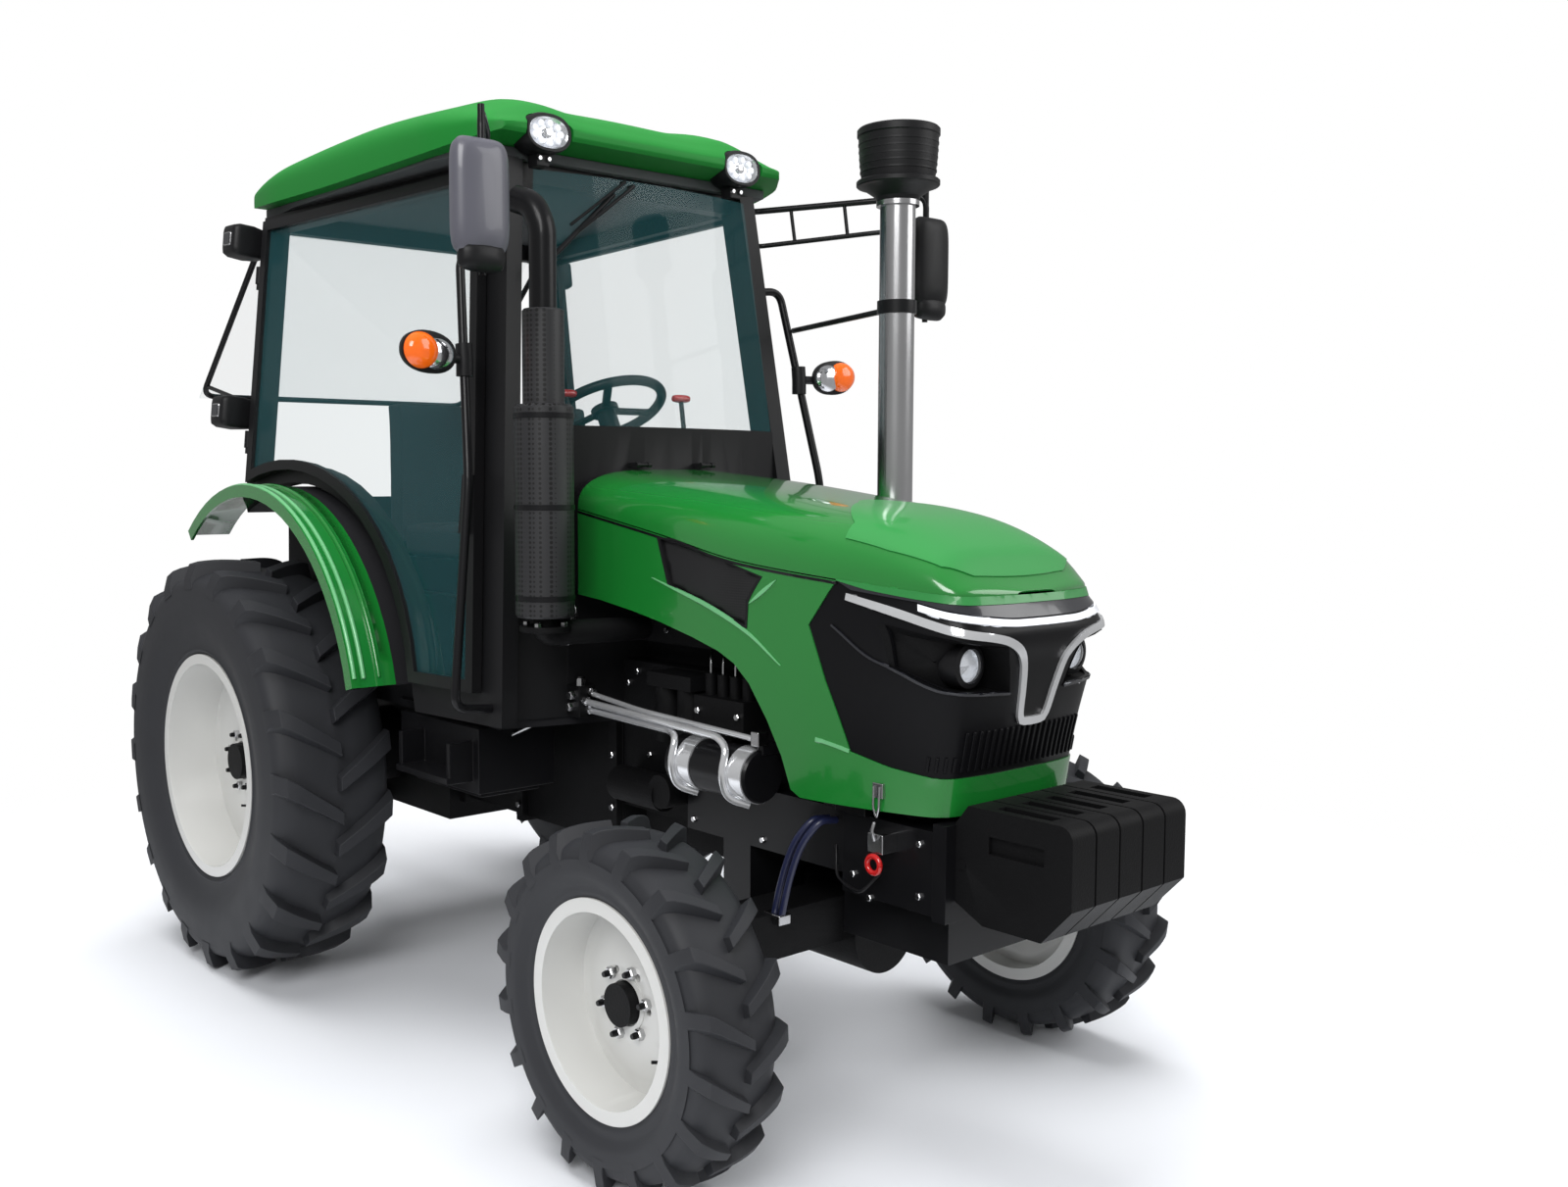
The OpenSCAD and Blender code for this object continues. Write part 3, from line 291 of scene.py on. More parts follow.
RUBBER = finish_of("tyre rubber", (0.026, 0.027, 0.031), 0.58, drift=0.3, drift_scale=9, grain=0.12,
                   grain_scale=400, spec=0.35)
STEEL = finish_of("bright steel", (0.55, 0.55, 0.56), 0.22, metal=1.0, drift=0.10)
CHROME = finish_of("chrome", (0.88, 0.89, 0.91), 0.10, metal=0.7, drift=0.04)
SHELL_GREY = finish_of("mirror shell", (0.11, 0.11, 0.135), 0.34, coat=0.3, drift=0.08)
GLASS = glazing("cab glass", (0.05, 0.25, 0.28), 0.10)
LENS = glazing("clear lens", (0.90, 0.92, 0.95), 0.08)
REFLECTOR = finish_of("lamp reflector", (0.80, 0.81, 0.84), 0.14, metal=1.0, drift=0.25, drift_scale=55)
MIRROR_FACE = finish_of("mirror face", (0.75, 0.78, 0.80), 0.03, metal=1.0, drift=0.03)
AMBER = glow(finish_of("amber lens", (0.85, 0.13, 0.004), 0.12, coat=0.8, drift=0.3, drift_scale=60),
             (1.0, 0.16, 0.01), 0.25)
RED = finish_of("red lens", (0.55, 0.01, 0.01), 0.15, coat=0.8, drift=0.2, drift_scale=60)
LAMP_BOWL = glow(finish_of("lit lamp bowl", (0.80, 0.82, 0.86), 0.18, metal=0.8, drift=0.3, drift_scale=60),
                 (0.9, 0.94, 1.0), 0.22)
LED = glow(finish_of("light strip", (0.85, 0.87, 0.92), 0.2, coat=0.6, drift=0.05), (0.90, 0.93, 1.0), 0.25)
LINER = finish_of("grey liner", (0.09, 0.095, 0.10), 0.8, drift=0.15, grain=0.3, grain_scale=900)
LINER_DARK = finish_of("dark trim", (0.014, 0.014, 0.016), 0.7, drift=0.15, grain=0.2, grain_scale=600,
                       spec=0.2)
CLOTH = finish_of("seat cloth", (0.02, 0.02, 0.024), 0.9, drift=0.2, grain=0.5, grain_scale=1200)
HOSE_BLUE = finish_of("blue hose", (0.012, 0.016, 0.055), 0.4, coat=0.3, drift=0.2)
SHIELD = pierced("pierced shield", (0.022, 0.022, 0.024), (0.001, 0.001, 0.001), 0.42, 75, 0.36)
VENT_MESH = pierced("vent mesh", (0.012, 0.012, 0.013), (0.001, 0.001, 0.001), 0.5, 150, 0.34)


# Ways to make a piece

ROUNDED_ANGLE = 35  # degrees; flatter edges are not rounded
FLAT_ANGLE = 1  # degrees; flatter neighbours become one face
WELD_GAP = 2e-5  # metres


def new_object(name, data):
    holder = bpy.data.objects.new(name, data)
    bpy.context.scene.collection.objects.link(holder)
    return holder


def show(name, points_mm, faces, material, body=CHASSIS, smooth=30, bevel=0.0, recalc=True):
    """A mesh given in millimetres from the rear axle, riding on a body."""
    mesh = bpy.data.meshes.new(name)
    mesh.from_pydata(row(points_mm).tolist(), [], [list(map(int, f)) for f in faces])
    mesh.validate()
    return finish_piece(new_object(name, mesh), material, body, smooth, bevel, recalc)


def finish_piece(piece, material, body, smooth=30, bevel=0.0, recalc=True):
    """Material, clean normals, sharp creases, rounded edges, and the body it rides on."""
    piece.data.materials.clear()
    piece.data.materials.append(material)
    if recalc:
        work = bmesh.new()
        work.from_mesh(piece.data)
        bmesh.ops.recalc_face_normals(work, faces=work.faces)
        work.to_mesh(piece.data)
        work.free()
    piece.data.shade_smooth()
    piece.data.set_sharp_from_angle(angle=math.radians(smooth))
    if bevel:
        round_edges(piece, bevel)
    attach(piece, body)
    return piece


def round_edges(piece, width, segments=2):
    rounding = piece.modifiers.new("rounding", "BEVEL")
    rounding.width = width / 1000
    rounding.segments = segments
    rounding.limit_method = "ANGLE"
    rounding.angle_limit = math.radians(ROUNDED_ANGLE)
    rounding.harden_normals = True


def apply_modifiers(piece):
    shape = piece.evaluated_get(bpy.context.evaluated_depsgraph_get())
    mesh = bpy.data.meshes.new_from_object(shape)
    piece.modifiers.clear()
    piece.data = mesh


def cut_out(piece, rings, smooth):
    """Opening through a piece, in the shape of a closed skin over rings."""
    points, faces = skinned(rings)
    work = bmesh.new()
    corners = [work.verts.new(p) for p in row(points).tolist()]
    for face in faces:
        work.faces.new([corners[k] for k in face])
    bmesh.ops.recalc_face_normals(work, faces=work.faces)
    mesh = bpy.data.meshes.new("cutter")
    work.to_mesh(mesh)
    work.free()
    cutter = new_object("cutter", mesh)
    opening = piece.modifiers.new("opening", "BOOLEAN")
    opening.operation = "DIFFERENCE"
    opening.object = cutter
    apply_modifiers(piece)
    bpy.data.objects.remove(cutter)
    piece.data.set_sharp_from_angle(angle=math.radians(smooth))


def dress(node, material, bevel=3.0, smooth=30):
    """A CAD node shown with cleaned, rounded edges and its own material."""
    source = frame["nodes"][node]
    piece = new_object(node + "_finished", source.data.copy())
    work = bmesh.new()
    work.from_mesh(piece.data)
    bmesh.ops.remove_doubles(work, verts=work.verts, dist=WELD_GAP)
    bmesh.ops.dissolve_limit(work, angle_limit=math.radians(FLAT_ANGLE), verts=work.verts, edges=work.edges)
    work.to_mesh(piece.data)
    work.free()
    finish_piece(piece, material, source["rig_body"], smooth, bevel)
    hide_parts(node)
    return piece


def side_turn(direction):
    """Two unit vectors square to a direction."""
    d = np.array(direction, float) / np.linalg.norm(direction)
    a = np.cross(d, [0, 0, 1.0] if abs(d[2]) < 0.9 else [1.0, 0, 0])
    a /= np.linalg.norm(a)
    return d, a, np.cross(d, a)


def skinned(rings, closed=True, caps=True):
    """Points and faces of a skin over rings of equal length."""
    rings = np.array(rings, float)
    m, n = rings.shape[:2]
    faces = []
    for k in range(m - 1):
        for i in range(n if closed else n - 1):
            j = (i + 1) % n
            faces.append([k * n + i, k * n + j, (k + 1) * n + j, (k + 1) * n + i])
    if closed and caps:
        faces.append(list(range(n))[::-1])
        faces.append([(m - 1) * n + i for i in range(n)])
    return rings.reshape(-1, 3), faces


def add_skin(points, faces, corners, skin):
    """Adds a skin to a mesh that grows."""
    faces += [[len(points) + k for k in face] for face in skin]
    points += list(corners)


def loft(name, rings, material, body=CHASSIS, smooth=30, bevel=0.0, closed=True, caps=True, recalc=True):
    """Piece with a skin over rings of equal length."""
    return show(name, *skinned(rings, closed, caps), material, body, smooth, bevel, recalc)


def unit_ring(a, b, steps):
    turn = np.linspace(0, 2 * math.pi, steps, endpoint=False)
    return np.outer(np.cos(turn), a) + np.outer(np.sin(turn), b)


def tube(name, path, radius, material, body=CHASSIS, sides=14):
    """Round bar or hose along a path."""
    p = np.array(path, float)
    along = np.gradient(p, axis=0)
    a = side_turn(along[0])[1]
    rings = []
    for point, heading in zip(p, along):
        heading = heading / np.linalg.norm(heading)
        a = a - heading * a.dot(heading)
        a /= np.linalg.norm(a)
        rings.append(point + radius * unit_ring(a, np.cross(heading, a), sides))
    return loft(name, rings, material, body, smooth=50)


def bar(name, start, end, radius, material, sides=14):
    """Straight round bar."""
    return tube(name, np.linspace(start, end, 3), radius, material, sides=sides)


def turned(name, profile, origin, axis, material, body=CHASSIS, steps=64, smooth=30, bevel=0.0):
    """Solid of revolution: profile rows are (radius, distance along the axis)."""
    d, a, b = side_turn(axis)
    rings = [np.array(origin) + d * h + max(r, 0.01) * unit_ring(a, b, steps) for r, h in profile]
    return loft(name, rings, material, body, smooth, bevel)


def band(name, inner, outer, width, origin, axis, material):
    """Strap round a pipe or can, with softened edges."""
    profile = [(inner, 0), (outer, 1), (outer, width - 1), (inner, width)]
    return turned(name, profile, origin, axis, material)


def rounded_box(name, low, high, material, body=CHASSIS, bevel=4.0):
    x0, y0, z0 = low
    x1, y1, z1 = high
    points = [(x, y, z) for x in (x0, x1) for y in (y0, y1) for z in (z0, z1)]
    faces = [(0, 1, 3, 2), (4, 6, 7, 5), (0, 4, 5, 1), (2, 3, 7, 6), (0, 2, 6, 4), (1, 5, 7, 3)]
    return show(name, points, faces, material, body, bevel=bevel)


def oval_ring(centre, half_a, half_z, across=ACROSS, power=2.0, steps=48):
    """Upright ring; a higher power squares its corners."""
    turn = np.linspace(0, 2 * math.pi, steps, endpoint=False)
    c, s = np.cos(turn), np.sin(turn)
    ca = np.sign(c) * np.abs(c) ** (2 / power)
    sb = np.sign(s) * np.abs(s) ** (2 / power)
    return np.array(centre) + np.outer(half_a * ca, across) + np.outer(half_z * sb, UP)


def studs(name, places, radius, height, material, body=CHASSIS, sides=6):
    """Bolt heads, one for each (point, outward direction), in one piece."""
    points, faces = [], []
    for point, axis in places:
        d, a, b = side_turn(axis)
        add_skin(points, faces, *skinned([np.array(point) + d * rise + radius * share * unit_ring(a, b, sides)
                                          for rise, share in ((-2, 1), (height * 0.8, 1), (height, 0.8))]))
    return show(name, points, faces, material, body)


def outward(y, places):
    """Bolt places on the right of the tractor, from (x, z)."""
    return [((x, y, z), OUT_RIGHT) for x, z in places]


def inside(outline, u, v):
    """True where a point lies in an outline."""
    o = np.array(outline, float)
    hit = np.zeros(np.shape(u), bool)
    for (u0, v0), (u1, v1) in zip(o, np.roll(o, -1, axis=0)):
        if v0 == v1:
            continue
        cross = (v0 > v) != (v1 > v)
        hit ^= cross & (u < (u1 - u0) * (v - v0) / (v1 - v0) + u0)
    return hit


def panel(name, surface, outline, material, holes=(), rise=0.0, thick=8.0, step=(24, 24), bevel=2.5,
          smooth=30):
    """Hood panel cut to an outline in a surface's own coordinates, then laid on it with a thickness."""
    outline = np.array(outline, float)
    low, high = outline.min(0), outline.max(0)
    us = np.linspace(low[0], high[0], max(int((high[0] - low[0]) / step[0]), 1) + 1)
    vs = np.linspace(low[1], high[1], max(int((high[1] - low[1]) / step[1]), 1) + 1)
    work = bmesh.new()
    scale_v = step[0] / step[1]
    knots = [[work.verts.new((u, v * scale_v, 0)) for v in vs] for u in us]
    for i in range(len(us) - 1):
        for j in range(len(vs) - 1):
            work.faces.new((knots[i][j], knots[i + 1][j], knots[i + 1][j + 1], knots[i][j + 1]))
    for edge_list, keep in [(outline, True)] + [(np.array(h, float), False) for h in holes]:
        flat = edge_list * [1, scale_v]
        for p, q in zip(flat, np.roll(flat, -1, axis=0)):
            if np.allclose(p, q):
                continue
            lo, hi = np.minimum(p, q) - step[0] * 0.5, np.maximum(p, q) + step[0] * 0.5
            near = [f for f in work.faces
                    if all(max(x.co[k] for x in f.verts) >= lo[k] and min(x.co[k] for x in f.verts) <= hi[k]
                           for k in (0, 1))]
            geom = list({g for f in near for g in list(f.verts) + list(f.edges)}) + near
            normal = (q - p)[::-1] * [1, -1]
            bmesh.ops.bisect_plane(work, geom=geom, dist=1e-4, plane_co=(*p, 0), plane_no=(*normal, 0))
        mids = np.array([f.calc_center_median()[:2] for f in work.faces]).reshape(-1, 2)
        hit = inside(flat, mids[:, 0], mids[:, 1])
        bmesh.ops.delete(work, geom=[f for f, h in zip(list(work.faces), hit) if h != keep], context="FACES")
    work.verts.ensure_lookup_table()
    work.verts.index_update()
    flat = np.array([v.co[:2] for v in work.verts]) / [1, scale_v]
    faces = [[v.index for v in f.verts] for f in work.faces]
    work.free()
    points, out = laid(surface, flat[:, 0], flat[:, 1], rise)
    piece = show(name, points, faces, material, HOOD, smooth, recalc=False)
    turn = np.array([f.normal for f in piece.data.polygons])
    want = np.array([out[list(f.vertices)].mean(0) for f in piece.data.polygons])
    if (turn * want).sum() < 0:
        piece.data.flip_normals()
    skin = piece.modifiers.new("thickness", "SOLIDIFY")
    skin.thickness = thick / 1000
    skin.offset = -1
    if bevel:
        round_edges(piece, bevel)
    return piece


def laid(surface, u, v, rise):
    """Points on a surface, raised along its outward normal, and the normals."""
    eps = 0.5
    p = surface(u, v)
    du = surface(u + eps, v) - surface(u - eps, v)
    dv = surface(u, v + eps) - surface(u, v - eps)
    out = np.cross(du, dv)
    out /= np.maximum(np.linalg.norm(out, axis=1, keepdims=True), 1e-9)
    centre = np.array([p[:, 0].mean() - 300, 0, p[:, 2].min() - 50])
    if (out * (p - centre)).sum() < 0:
        out = -out
    return p + out * rise, out


def ribbon(path, width):
    """Outline of a strip along a path, in flat coordinates; width may change along it."""
    p = np.array(path, float)
    d = np.gradient(p, axis=0)
    d /= np.linalg.norm(d, axis=1, keepdims=True)
    side = np.stack([-d[:, 1], d[:, 0]], 1) * np.broadcast_to(np.asarray(width, float) / 2, len(p))[:, None]
    return np.concatenate([p + side, (p - side)[::-1]])


# Hood and nose: the same skin as the CAD, drawn smooth

HOOD_X0, HOOD_L, HOOD_HALF = 1345.0, 1345.0, 358.0
HOOD_TOP = [[0, 1694], [0.284, 1660], [0.581, 1612], [0.767, 1577], [0.926, 1498], [0.97, 1436], [1, 1406]]
HOOD_CREASE = [[0, 1580], [0.285, 1516], [0.511, 1460], [0.736, 1430], [0.926, 1405], [1, 1396]]
HOOD_PLAN = [[1, 0], [1, 0.21], [0.996, 0.42], [0.987, 0.6], [0.97, 0.698], [0.933, 0.768], [0.822, 0.88],
             [0.673, 0.964], [0.413, 1], [0.2, 1], [0, 1]]
NOSE_RAMP = [[0, 0], [0.68, 0], [0.93, 1], [1, 1]]
NOSE_LEAN = [[880, -48], [973, -34], [1240, 25], [1306, 42], [1350, 25], [1396, 0], [1700, 0]]
NOSE_SWELL = [[880, 0], [1000, 0], [1306, 0.07], [1350, 0.05], [1396, 0], [1700, 0]]

TOP_SQUARE, TOP_ROUND = 0.55, 0.8
CREASE_END = 1013.0
PLAN = flowing_path(np.array(HOOD_PLAN) * [HOOD_L, HOOD_HALF], 4.0)
PLAN_RUN = np.concatenate([[0], np.cumsum(np.linalg.norm(np.diff(PLAN, axis=0), axis=1))])


def side_skin(s, z):
    """Hood side at a distance s round the hood from the middle of its front, right side negative."""
    x = np.interp(np.abs(s), PLAN_RUN, PLAN[:, 0])
    y = np.interp(np.abs(s), PLAN_RUN, PLAN[:, 1]) * np.sign(s)
    ramp = flowing(NOSE_RAMP, x / HOOD_L)
    return np.stack([HOOD_X0 + x + ramp * flowing(NOSE_LEAN, z), y * (1 + ramp * flowing(NOSE_SWELL, z)),
                     z + 0 * x], -1)


def top_skin(x, turn):
    """Hood top at a distance x from the cab; turn runs from 0 on the left crease to 180 on the right."""
    x = np.clip(x, 0, HOOD_L)
    f = x / HOOD_L
    half = np.interp(-x, -PLAN[:, 0], PLAN[:, 1])
    c, s = np.cos(np.radians(turn)), np.clip(np.sin(np.radians(turn)), 0, 1)
    edge, top = flowing(HOOD_CREASE, f), flowing(HOOD_TOP, f)
    return np.stack([HOOD_X0 + x, half * np.sign(c) * np.abs(c) ** TOP_SQUARE,
                     edge + (top - edge) * s**TOP_ROUND], -1)


def on_side(points):
    """Places on the hood's side, given as (x, y, z) or (x, z) on the right, as (s, z)."""
    found = []
    s = np.linspace(-PLAN_RUN[-1], PLAN_RUN[-1], 3000)
    for p in points:
        x, y, z = p if len(p) == 3 else (p[0], -350, p[1])
        skin = side_skin(s, np.full_like(s, z))
        gap = np.abs(skin[:, 0] - x) + (0.7 * np.abs(skin[:, 1] - y) if len(p) == 3 else 1e4 * (s > 0))
        found.append((s[np.argmin(gap)], z))
    return np.array(found)


def on_top(points):
    """Places on the hood's top, given as (x, y), as (distance from the cab, turn)."""
    found = []
    for x, y in points:
        half = np.interp(HOOD_X0 - x, -PLAN[:, 0], PLAN[:, 1])
        c = min(abs(y) / half, 1) ** (1 / TOP_SQUARE)
        found.append((x - HOOD_X0, math.degrees(math.acos(math.copysign(c, y)))))
    return np.array(found)


def both(outline):
    """An outline on the right and its twin on the left."""
    left = np.array(outline) * [-1, 1]
    return outline, left[::-1]


def twins(name, outline, material, **shape):
    """A panel on the right of the hood and its twin on the left."""
    for (side, _), strip in zip(SIDES, both(outline)):
        panel(name + side, side_skin, strip, material, **shape)


def crease_points(start, end, count, rise):
    """Points along the crease between two distances from the cab, raised a little."""
    return [(HOOD_X0 + x, float(flowing(HOOD_CREASE, x / HOOD_L)) + rise)
            for x in np.linspace(start, end, count)]


def round_front(right):
    """A path from the right side round the front to the left."""
    right = np.array(right, float)
    left = right[::-1] * [-1, 1]
    return np.concatenate([right, left[1:] if abs(right[-1][0]) < 1 else left])


def recess(name, surface, outline, depth, material):
    """Walls and floor of a pocket below an outline."""
    ring = np.array(outline, float)
    ring = np.concatenate([np.linspace(p, q, 5)[:-1] for p, q in zip(ring, np.roll(ring, -1, axis=0))])
    middle = ring.mean(0)
    rows = []
    for drop, share in ((2, 1.0), (depth * 0.5, 0.97), (depth, 0.92), (depth, 0.5), (depth, 0.02)):
        at = middle + (ring - middle) * share
        rows.append(surface(at[:, 0], at[:, 1]) - [drop, 0, 0])
    return loft(name, rows, material, HOOD, smooth=40, caps=False, recalc=False)


CREASE_LINE = crease_points(0, CREASE_END, 24, -3)
NOSE_EDGE = [(2358, 1425), (2334, 1394), (2276, 1313), (2330, 1180), (2399, 1018), (2500, 992), (2610, 975)]
LOWER_EDGE = [(1345, 1331), (1450, 1322), (1600, 1301), (1719, 1280), (1860, 1249), (1960, 1222),
              (2020, 1195), (2075, 1150), (2140, 1063), (2190, 980), (2222, 900)]
VENT_EDGE = [(1714, 1508), (1786, 1505), (1950, 1465), (2119, 1422), (2092, 1388), (2072, 1358), (2067, 1290),
             (1910, 1334), (1760, 1382)]
LIP_LOW = [(2358, 1425), (2440, 1407), (2558, 1391), (2640, 1382)]
STRIP = [(2578, -284, 1372), (2650, -262, 1357), (2695, -207, 1345), (2712, -105, 1336), (2714, 0, 1335)]
CHROME_LINE = [(2386, -319, 1388), (2524, -301, 1359), (2680, -259, 1321), (2717, -160, 1300),
               (2715, -105, 1274), (2708, -78, 1239), (2694, -62, 1177), (2681, -50, 1112)]
POCKET = [(2508, -310, 1330), (2620, -275, 1312), (2715, -142, 1281), (2704, -118, 1225), (2690, -103, 1172),
          (2655, -254, 1182), (2535, -302, 1232)]
LID = [(2150, 0), (2200, -90), (2270, -190), (2342, -252), (2358, -300), (2480, -280), (2600, -240),
       (2640, -170), (2648, -80), (2650, 0)]
CHROME_WIDTH = [[0, 20], [130, 19], [200, 18], [330, 21], [560, 17]]


def hood_skin():
    whole = [(0, 0), (HOOD_L, 0), (HOOD_L, 180), (0, 180)]
    top = panel("hood_top", top_skin, whole, GREEN, thick=6, step=(18, 3), bevel=1.5, smooth=50)
    crease, nose = on_side(CREASE_LINE), on_side(NOSE_EDGE)
    low = on_side(LOWER_EDGE)
    upper = round_front(np.concatenate([crease, nose]))
    lower = round_front(np.concatenate([low, [(low[-1][0] + 30, 885), (-260, 884), (-90, 884)]]))
    vents = both(on_side(VENT_EDGE))
    sides = np.concatenate([upper, lower[::-1]])
    panel("hood_sides", side_skin, sides, GREEN, holes=vents, thick=6, step=(22, 22), smooth=50)
    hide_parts("hood_shell")
    for (side, _), outline in zip(SIDES, vents):
        mesh = panel("hood_vent_" + side, side_skin, outline, VENT_MESH, rise=-9, thick=3, bevel=0)
        middle = outline.mean(0)
        outer, inner = (middle + (outline - middle) * share for share in (1.018, 0.955))
        panel("hood_vent_rim_" + side, side_skin, outer, PLASTIC, holes=[inner], rise=1.5, thick=10, bevel=1.5)
        if side == "right":
            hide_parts("side_vents")
    ridge_low = on_side([(1690, 1398), (1760, 1380), (1927, 1335), (2072, 1278), (2186, 1205)])
    ridge_side = on_side([(2076, 1352), (2171, 1417)])
    # The ridges are real, but their lighter green is a painted highlight along the character lines.
    for k, line in enumerate((ridge_low, ridge_side)):
        path = flowing_path(line, 20)
        width = 11 * np.sin(np.linspace(0.15, math.pi - 0.15, len(path)))
        twins(f"hood_ridge_{k}_", ribbon(path, width), HIGHLIGHT_GREEN, rise=3.0, thick=5, bevel=2.8)
    seam = on_side([(x, z - 6) for x, z in CREASE_LINE])
    twins("hood_seam_", ribbon(seam, 7), BLACK, rise=0.8, thick=3, bevel=0)
    lid = on_top(LID)
    lid = np.concatenate([lid, (lid[::-1] * [1, -1] + [0, 180])[1:-1]])
    panel("hood_lid", top_skin, lid, LID_GREEN, rise=3.0, thick=5, step=(18, 3), bevel=2.0, smooth=50)


def nose_trim():
    crease_front = crease_points(CREASE_END, 1318, 14, 1)
    top = round_front(np.concatenate([on_side(crease_front), [(-120, 1398), (0, 1397)]]))
    lip_low = np.concatenate([on_side(LIP_LOW), [(-230, 1379), (-100, 1378), (0, 1378)]])
    lip = np.concatenate([top, round_front(lip_low)[::-1]])
    panel("hood_lip", side_skin, lip, LID_GREEN, rise=2.0, thick=9, bevel=2)
    edge = on_side(NOSE_EDGE)
    base = np.concatenate([round_front(edge), round_front(lip_low)[::-1]])
    pockets = both(on_side(POCKET))
    nose = panel("nose_panel", side_skin, base, NOSE, holes=pockets, rise=-4, thick=8, step=(16, 16), smooth=50)
    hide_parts("nose_grille")
    for (side, _), outline in zip(SIDES, pockets):
        recess("lamp_pocket_" + side, side_skin, outline, 75, CAST)
    strip = round_front(flowing_path(on_side(STRIP), 16))
    led = panel("light_strip", side_skin, ribbon(strip, 15), LED, rise=2.0, thick=5, bevel=1.5)
    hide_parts("head_lamps")
    under = np.concatenate([on_side([(2400, 1404)]), (strip + [0, 12])[:len(strip) // 2 + 1]])
    visor = np.concatenate([round_front(lip_low), round_front(under)[::-1]])
    panel("nose_visor", side_skin, visor, VISOR, rise=0.5, thick=5, bevel=1.0)
    for k, s in enumerate(np.arange(-14, 15) * 21.0):
        top = 1085 - 60 * (abs(s) > 210)
        panel(f"nose_louvre_{k}", side_skin, ribbon([(s, 990), (s, top)], 8), NOSE, rise=1.0, thick=8, bevel=2)
    chrome = flowing_path(np.concatenate([on_side(CHROME_LINE), [(-38, 1098), (0, 1096)]]), 14)
    chrome = round_front(chrome)
    band = ribbon(chrome, flowing(CHROME_WIDTH, np.abs(chrome[:, 0])))
    panel("chrome_trim", side_skin, band, CHROME, rise=3.5, thick=7, step=(10, 10), bevel=2)
    bright = on_side([(2514, -307, 1231), (2649, -257, 1181), (2690, -103, 1170)])
    twins("lamp_pocket_edge_", ribbon(flowing_path(bright, 18), 6), VISOR, rise=1.5, thick=4, bevel=1)
    fold = on_side([(2348, 1318), (2457, 1251), (2514, 1231)])
    twins("nose_fold_", ribbon(flowing_path(fold, 12), 5), VISOR, rise=1.0, thick=4, bevel=1)
    # The band crease's lighter green is a painted highlight.
    crease = on_side([(2301, 1037), (2350, 1029), (2397, 1019)])
    twins("band_crease_", ribbon(flowing_path(crease, 12), 9), HIGHLIGHT_GREEN, rise=2.0, thick=4, bevel=1)


def head_lamp(name, side):
    """Round lamp in a dark barrel, in a pocket of the nose."""
    centre = (2590.0, side * 200.0, 1238.0)
    for part, look, profile in (
        ("barrel", PLASTIC, [(20, 0), (52, 0), (54, 40), (52, 66), (40, 70), (39, 40), (20, 36)]),
        ("bowl", LAMP_BOWL, [(38, 60), (34, 46), (22, 34), (8, 29), (0, 28)]),
        ("lens", LENS, [(39, 60), (38, 66), (30, 73), (17, 77), (0, 79)]),
    ):
        turned(f"head_lamp_{part}_{name}", profile, centre, AHEAD, look, HOOD)


hood_skin()
nose_trim()
for name, side in SIDES:
    head_lamp(name, side)


# Wheels

def wheel_point(centre, side, r, turn, y):
    """Place on a wheel: turn runs forward over the top, y is outward."""
    return np.stack([centre[0] + r * np.sin(turn), centre[1] + side * y + 0 * r,
                     centre[2] + r * np.cos(turn)], -1)


def tyre(node, centre, side, d, w, rim_d, bars, bar_h):
    """Carcass with a rounded wall, and curved bars that fade into the shoulder."""
    wall, base = w / 2, d / 2 - bar_h
    bead = rim_d / 2
    half = [(bead - 16, wall * 0.78), (bead + 4, wall * 0.80), (bead + 16, wall * 0.86),
            (bead + 20, wall * 0.84), ((bead + base) / 2 - 10, wall * 0.985), ((bead + base) / 2 + 25, wall),
            (base - 52, wall * 0.985),
            (base - 24, wall * 0.90), (base - 4, wall * 0.62), (base + 4, 0)]
    half = flowing_path(half, 9.0)
    profile = np.concatenate([half, (half * [1, -1])[::-1][1:]])
    turn = np.linspace(0, 2 * math.pi, 120, endpoint=False)
    rings = [wheel_point(centre, side, np.full_like(turn, r), turn, y) for r, y in profile]
    points, faces = map(list, skinned(rings, caps=False))
    v = np.linspace(0, 1, 11)
    across = flowing([[0, -5], [0.35, wall * 0.30], [0.75, wall * 0.72], [0.92, wall * 0.93], [1, wall]], v)
    around = d / 2 * flowing([[0, 0.122], [0.3, 0.070], [0.65, 0.004], [0.9, -0.050], [1, -0.066]], v)
    crown = flowing([[0, d / 2 - 2], [0.5, d / 2], [0.75, d / 2 - 3], [0.92, d / 2 - 14], [1, base - 30]], v)
    foot = flowing([[0, base - 6], [0.5, base - 8], [0.75, base - 14], [0.92, base - 40], [1, base - 62]], v)
    thick = d / 2 * flowing([[0, 0.030], [0.3, 0.033], [0.7, 0.040], [1, 0.044]], v)
    edges = ((-thick - 8, foot), (-thick, crown), (thick, crown), (thick + 8, foot))
    last = 4 * len(v) - 1
    ends = [[0, 1, 2, 3], [last, last - 1, last - 2, last - 3]]
    for bar in range(bars):
        for row_side in (1, -1):
            phase = (bar + (0 if row_side > 0 else 0.5)) * 2 * math.pi / bars
            lines = [wheel_point(centre, side, r, phase + (around + offset) / (d / 2), row_side * across)
                     for offset, r in edges]
            corners, skin = skinned(np.stack(lines, 1), closed=False)
            add_skin(points, faces, corners, skin + ends)
    piece = show(node + "_tread", points, faces, RUBBER, body_of(node), smooth=32, bevel=2.5)
    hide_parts(node)


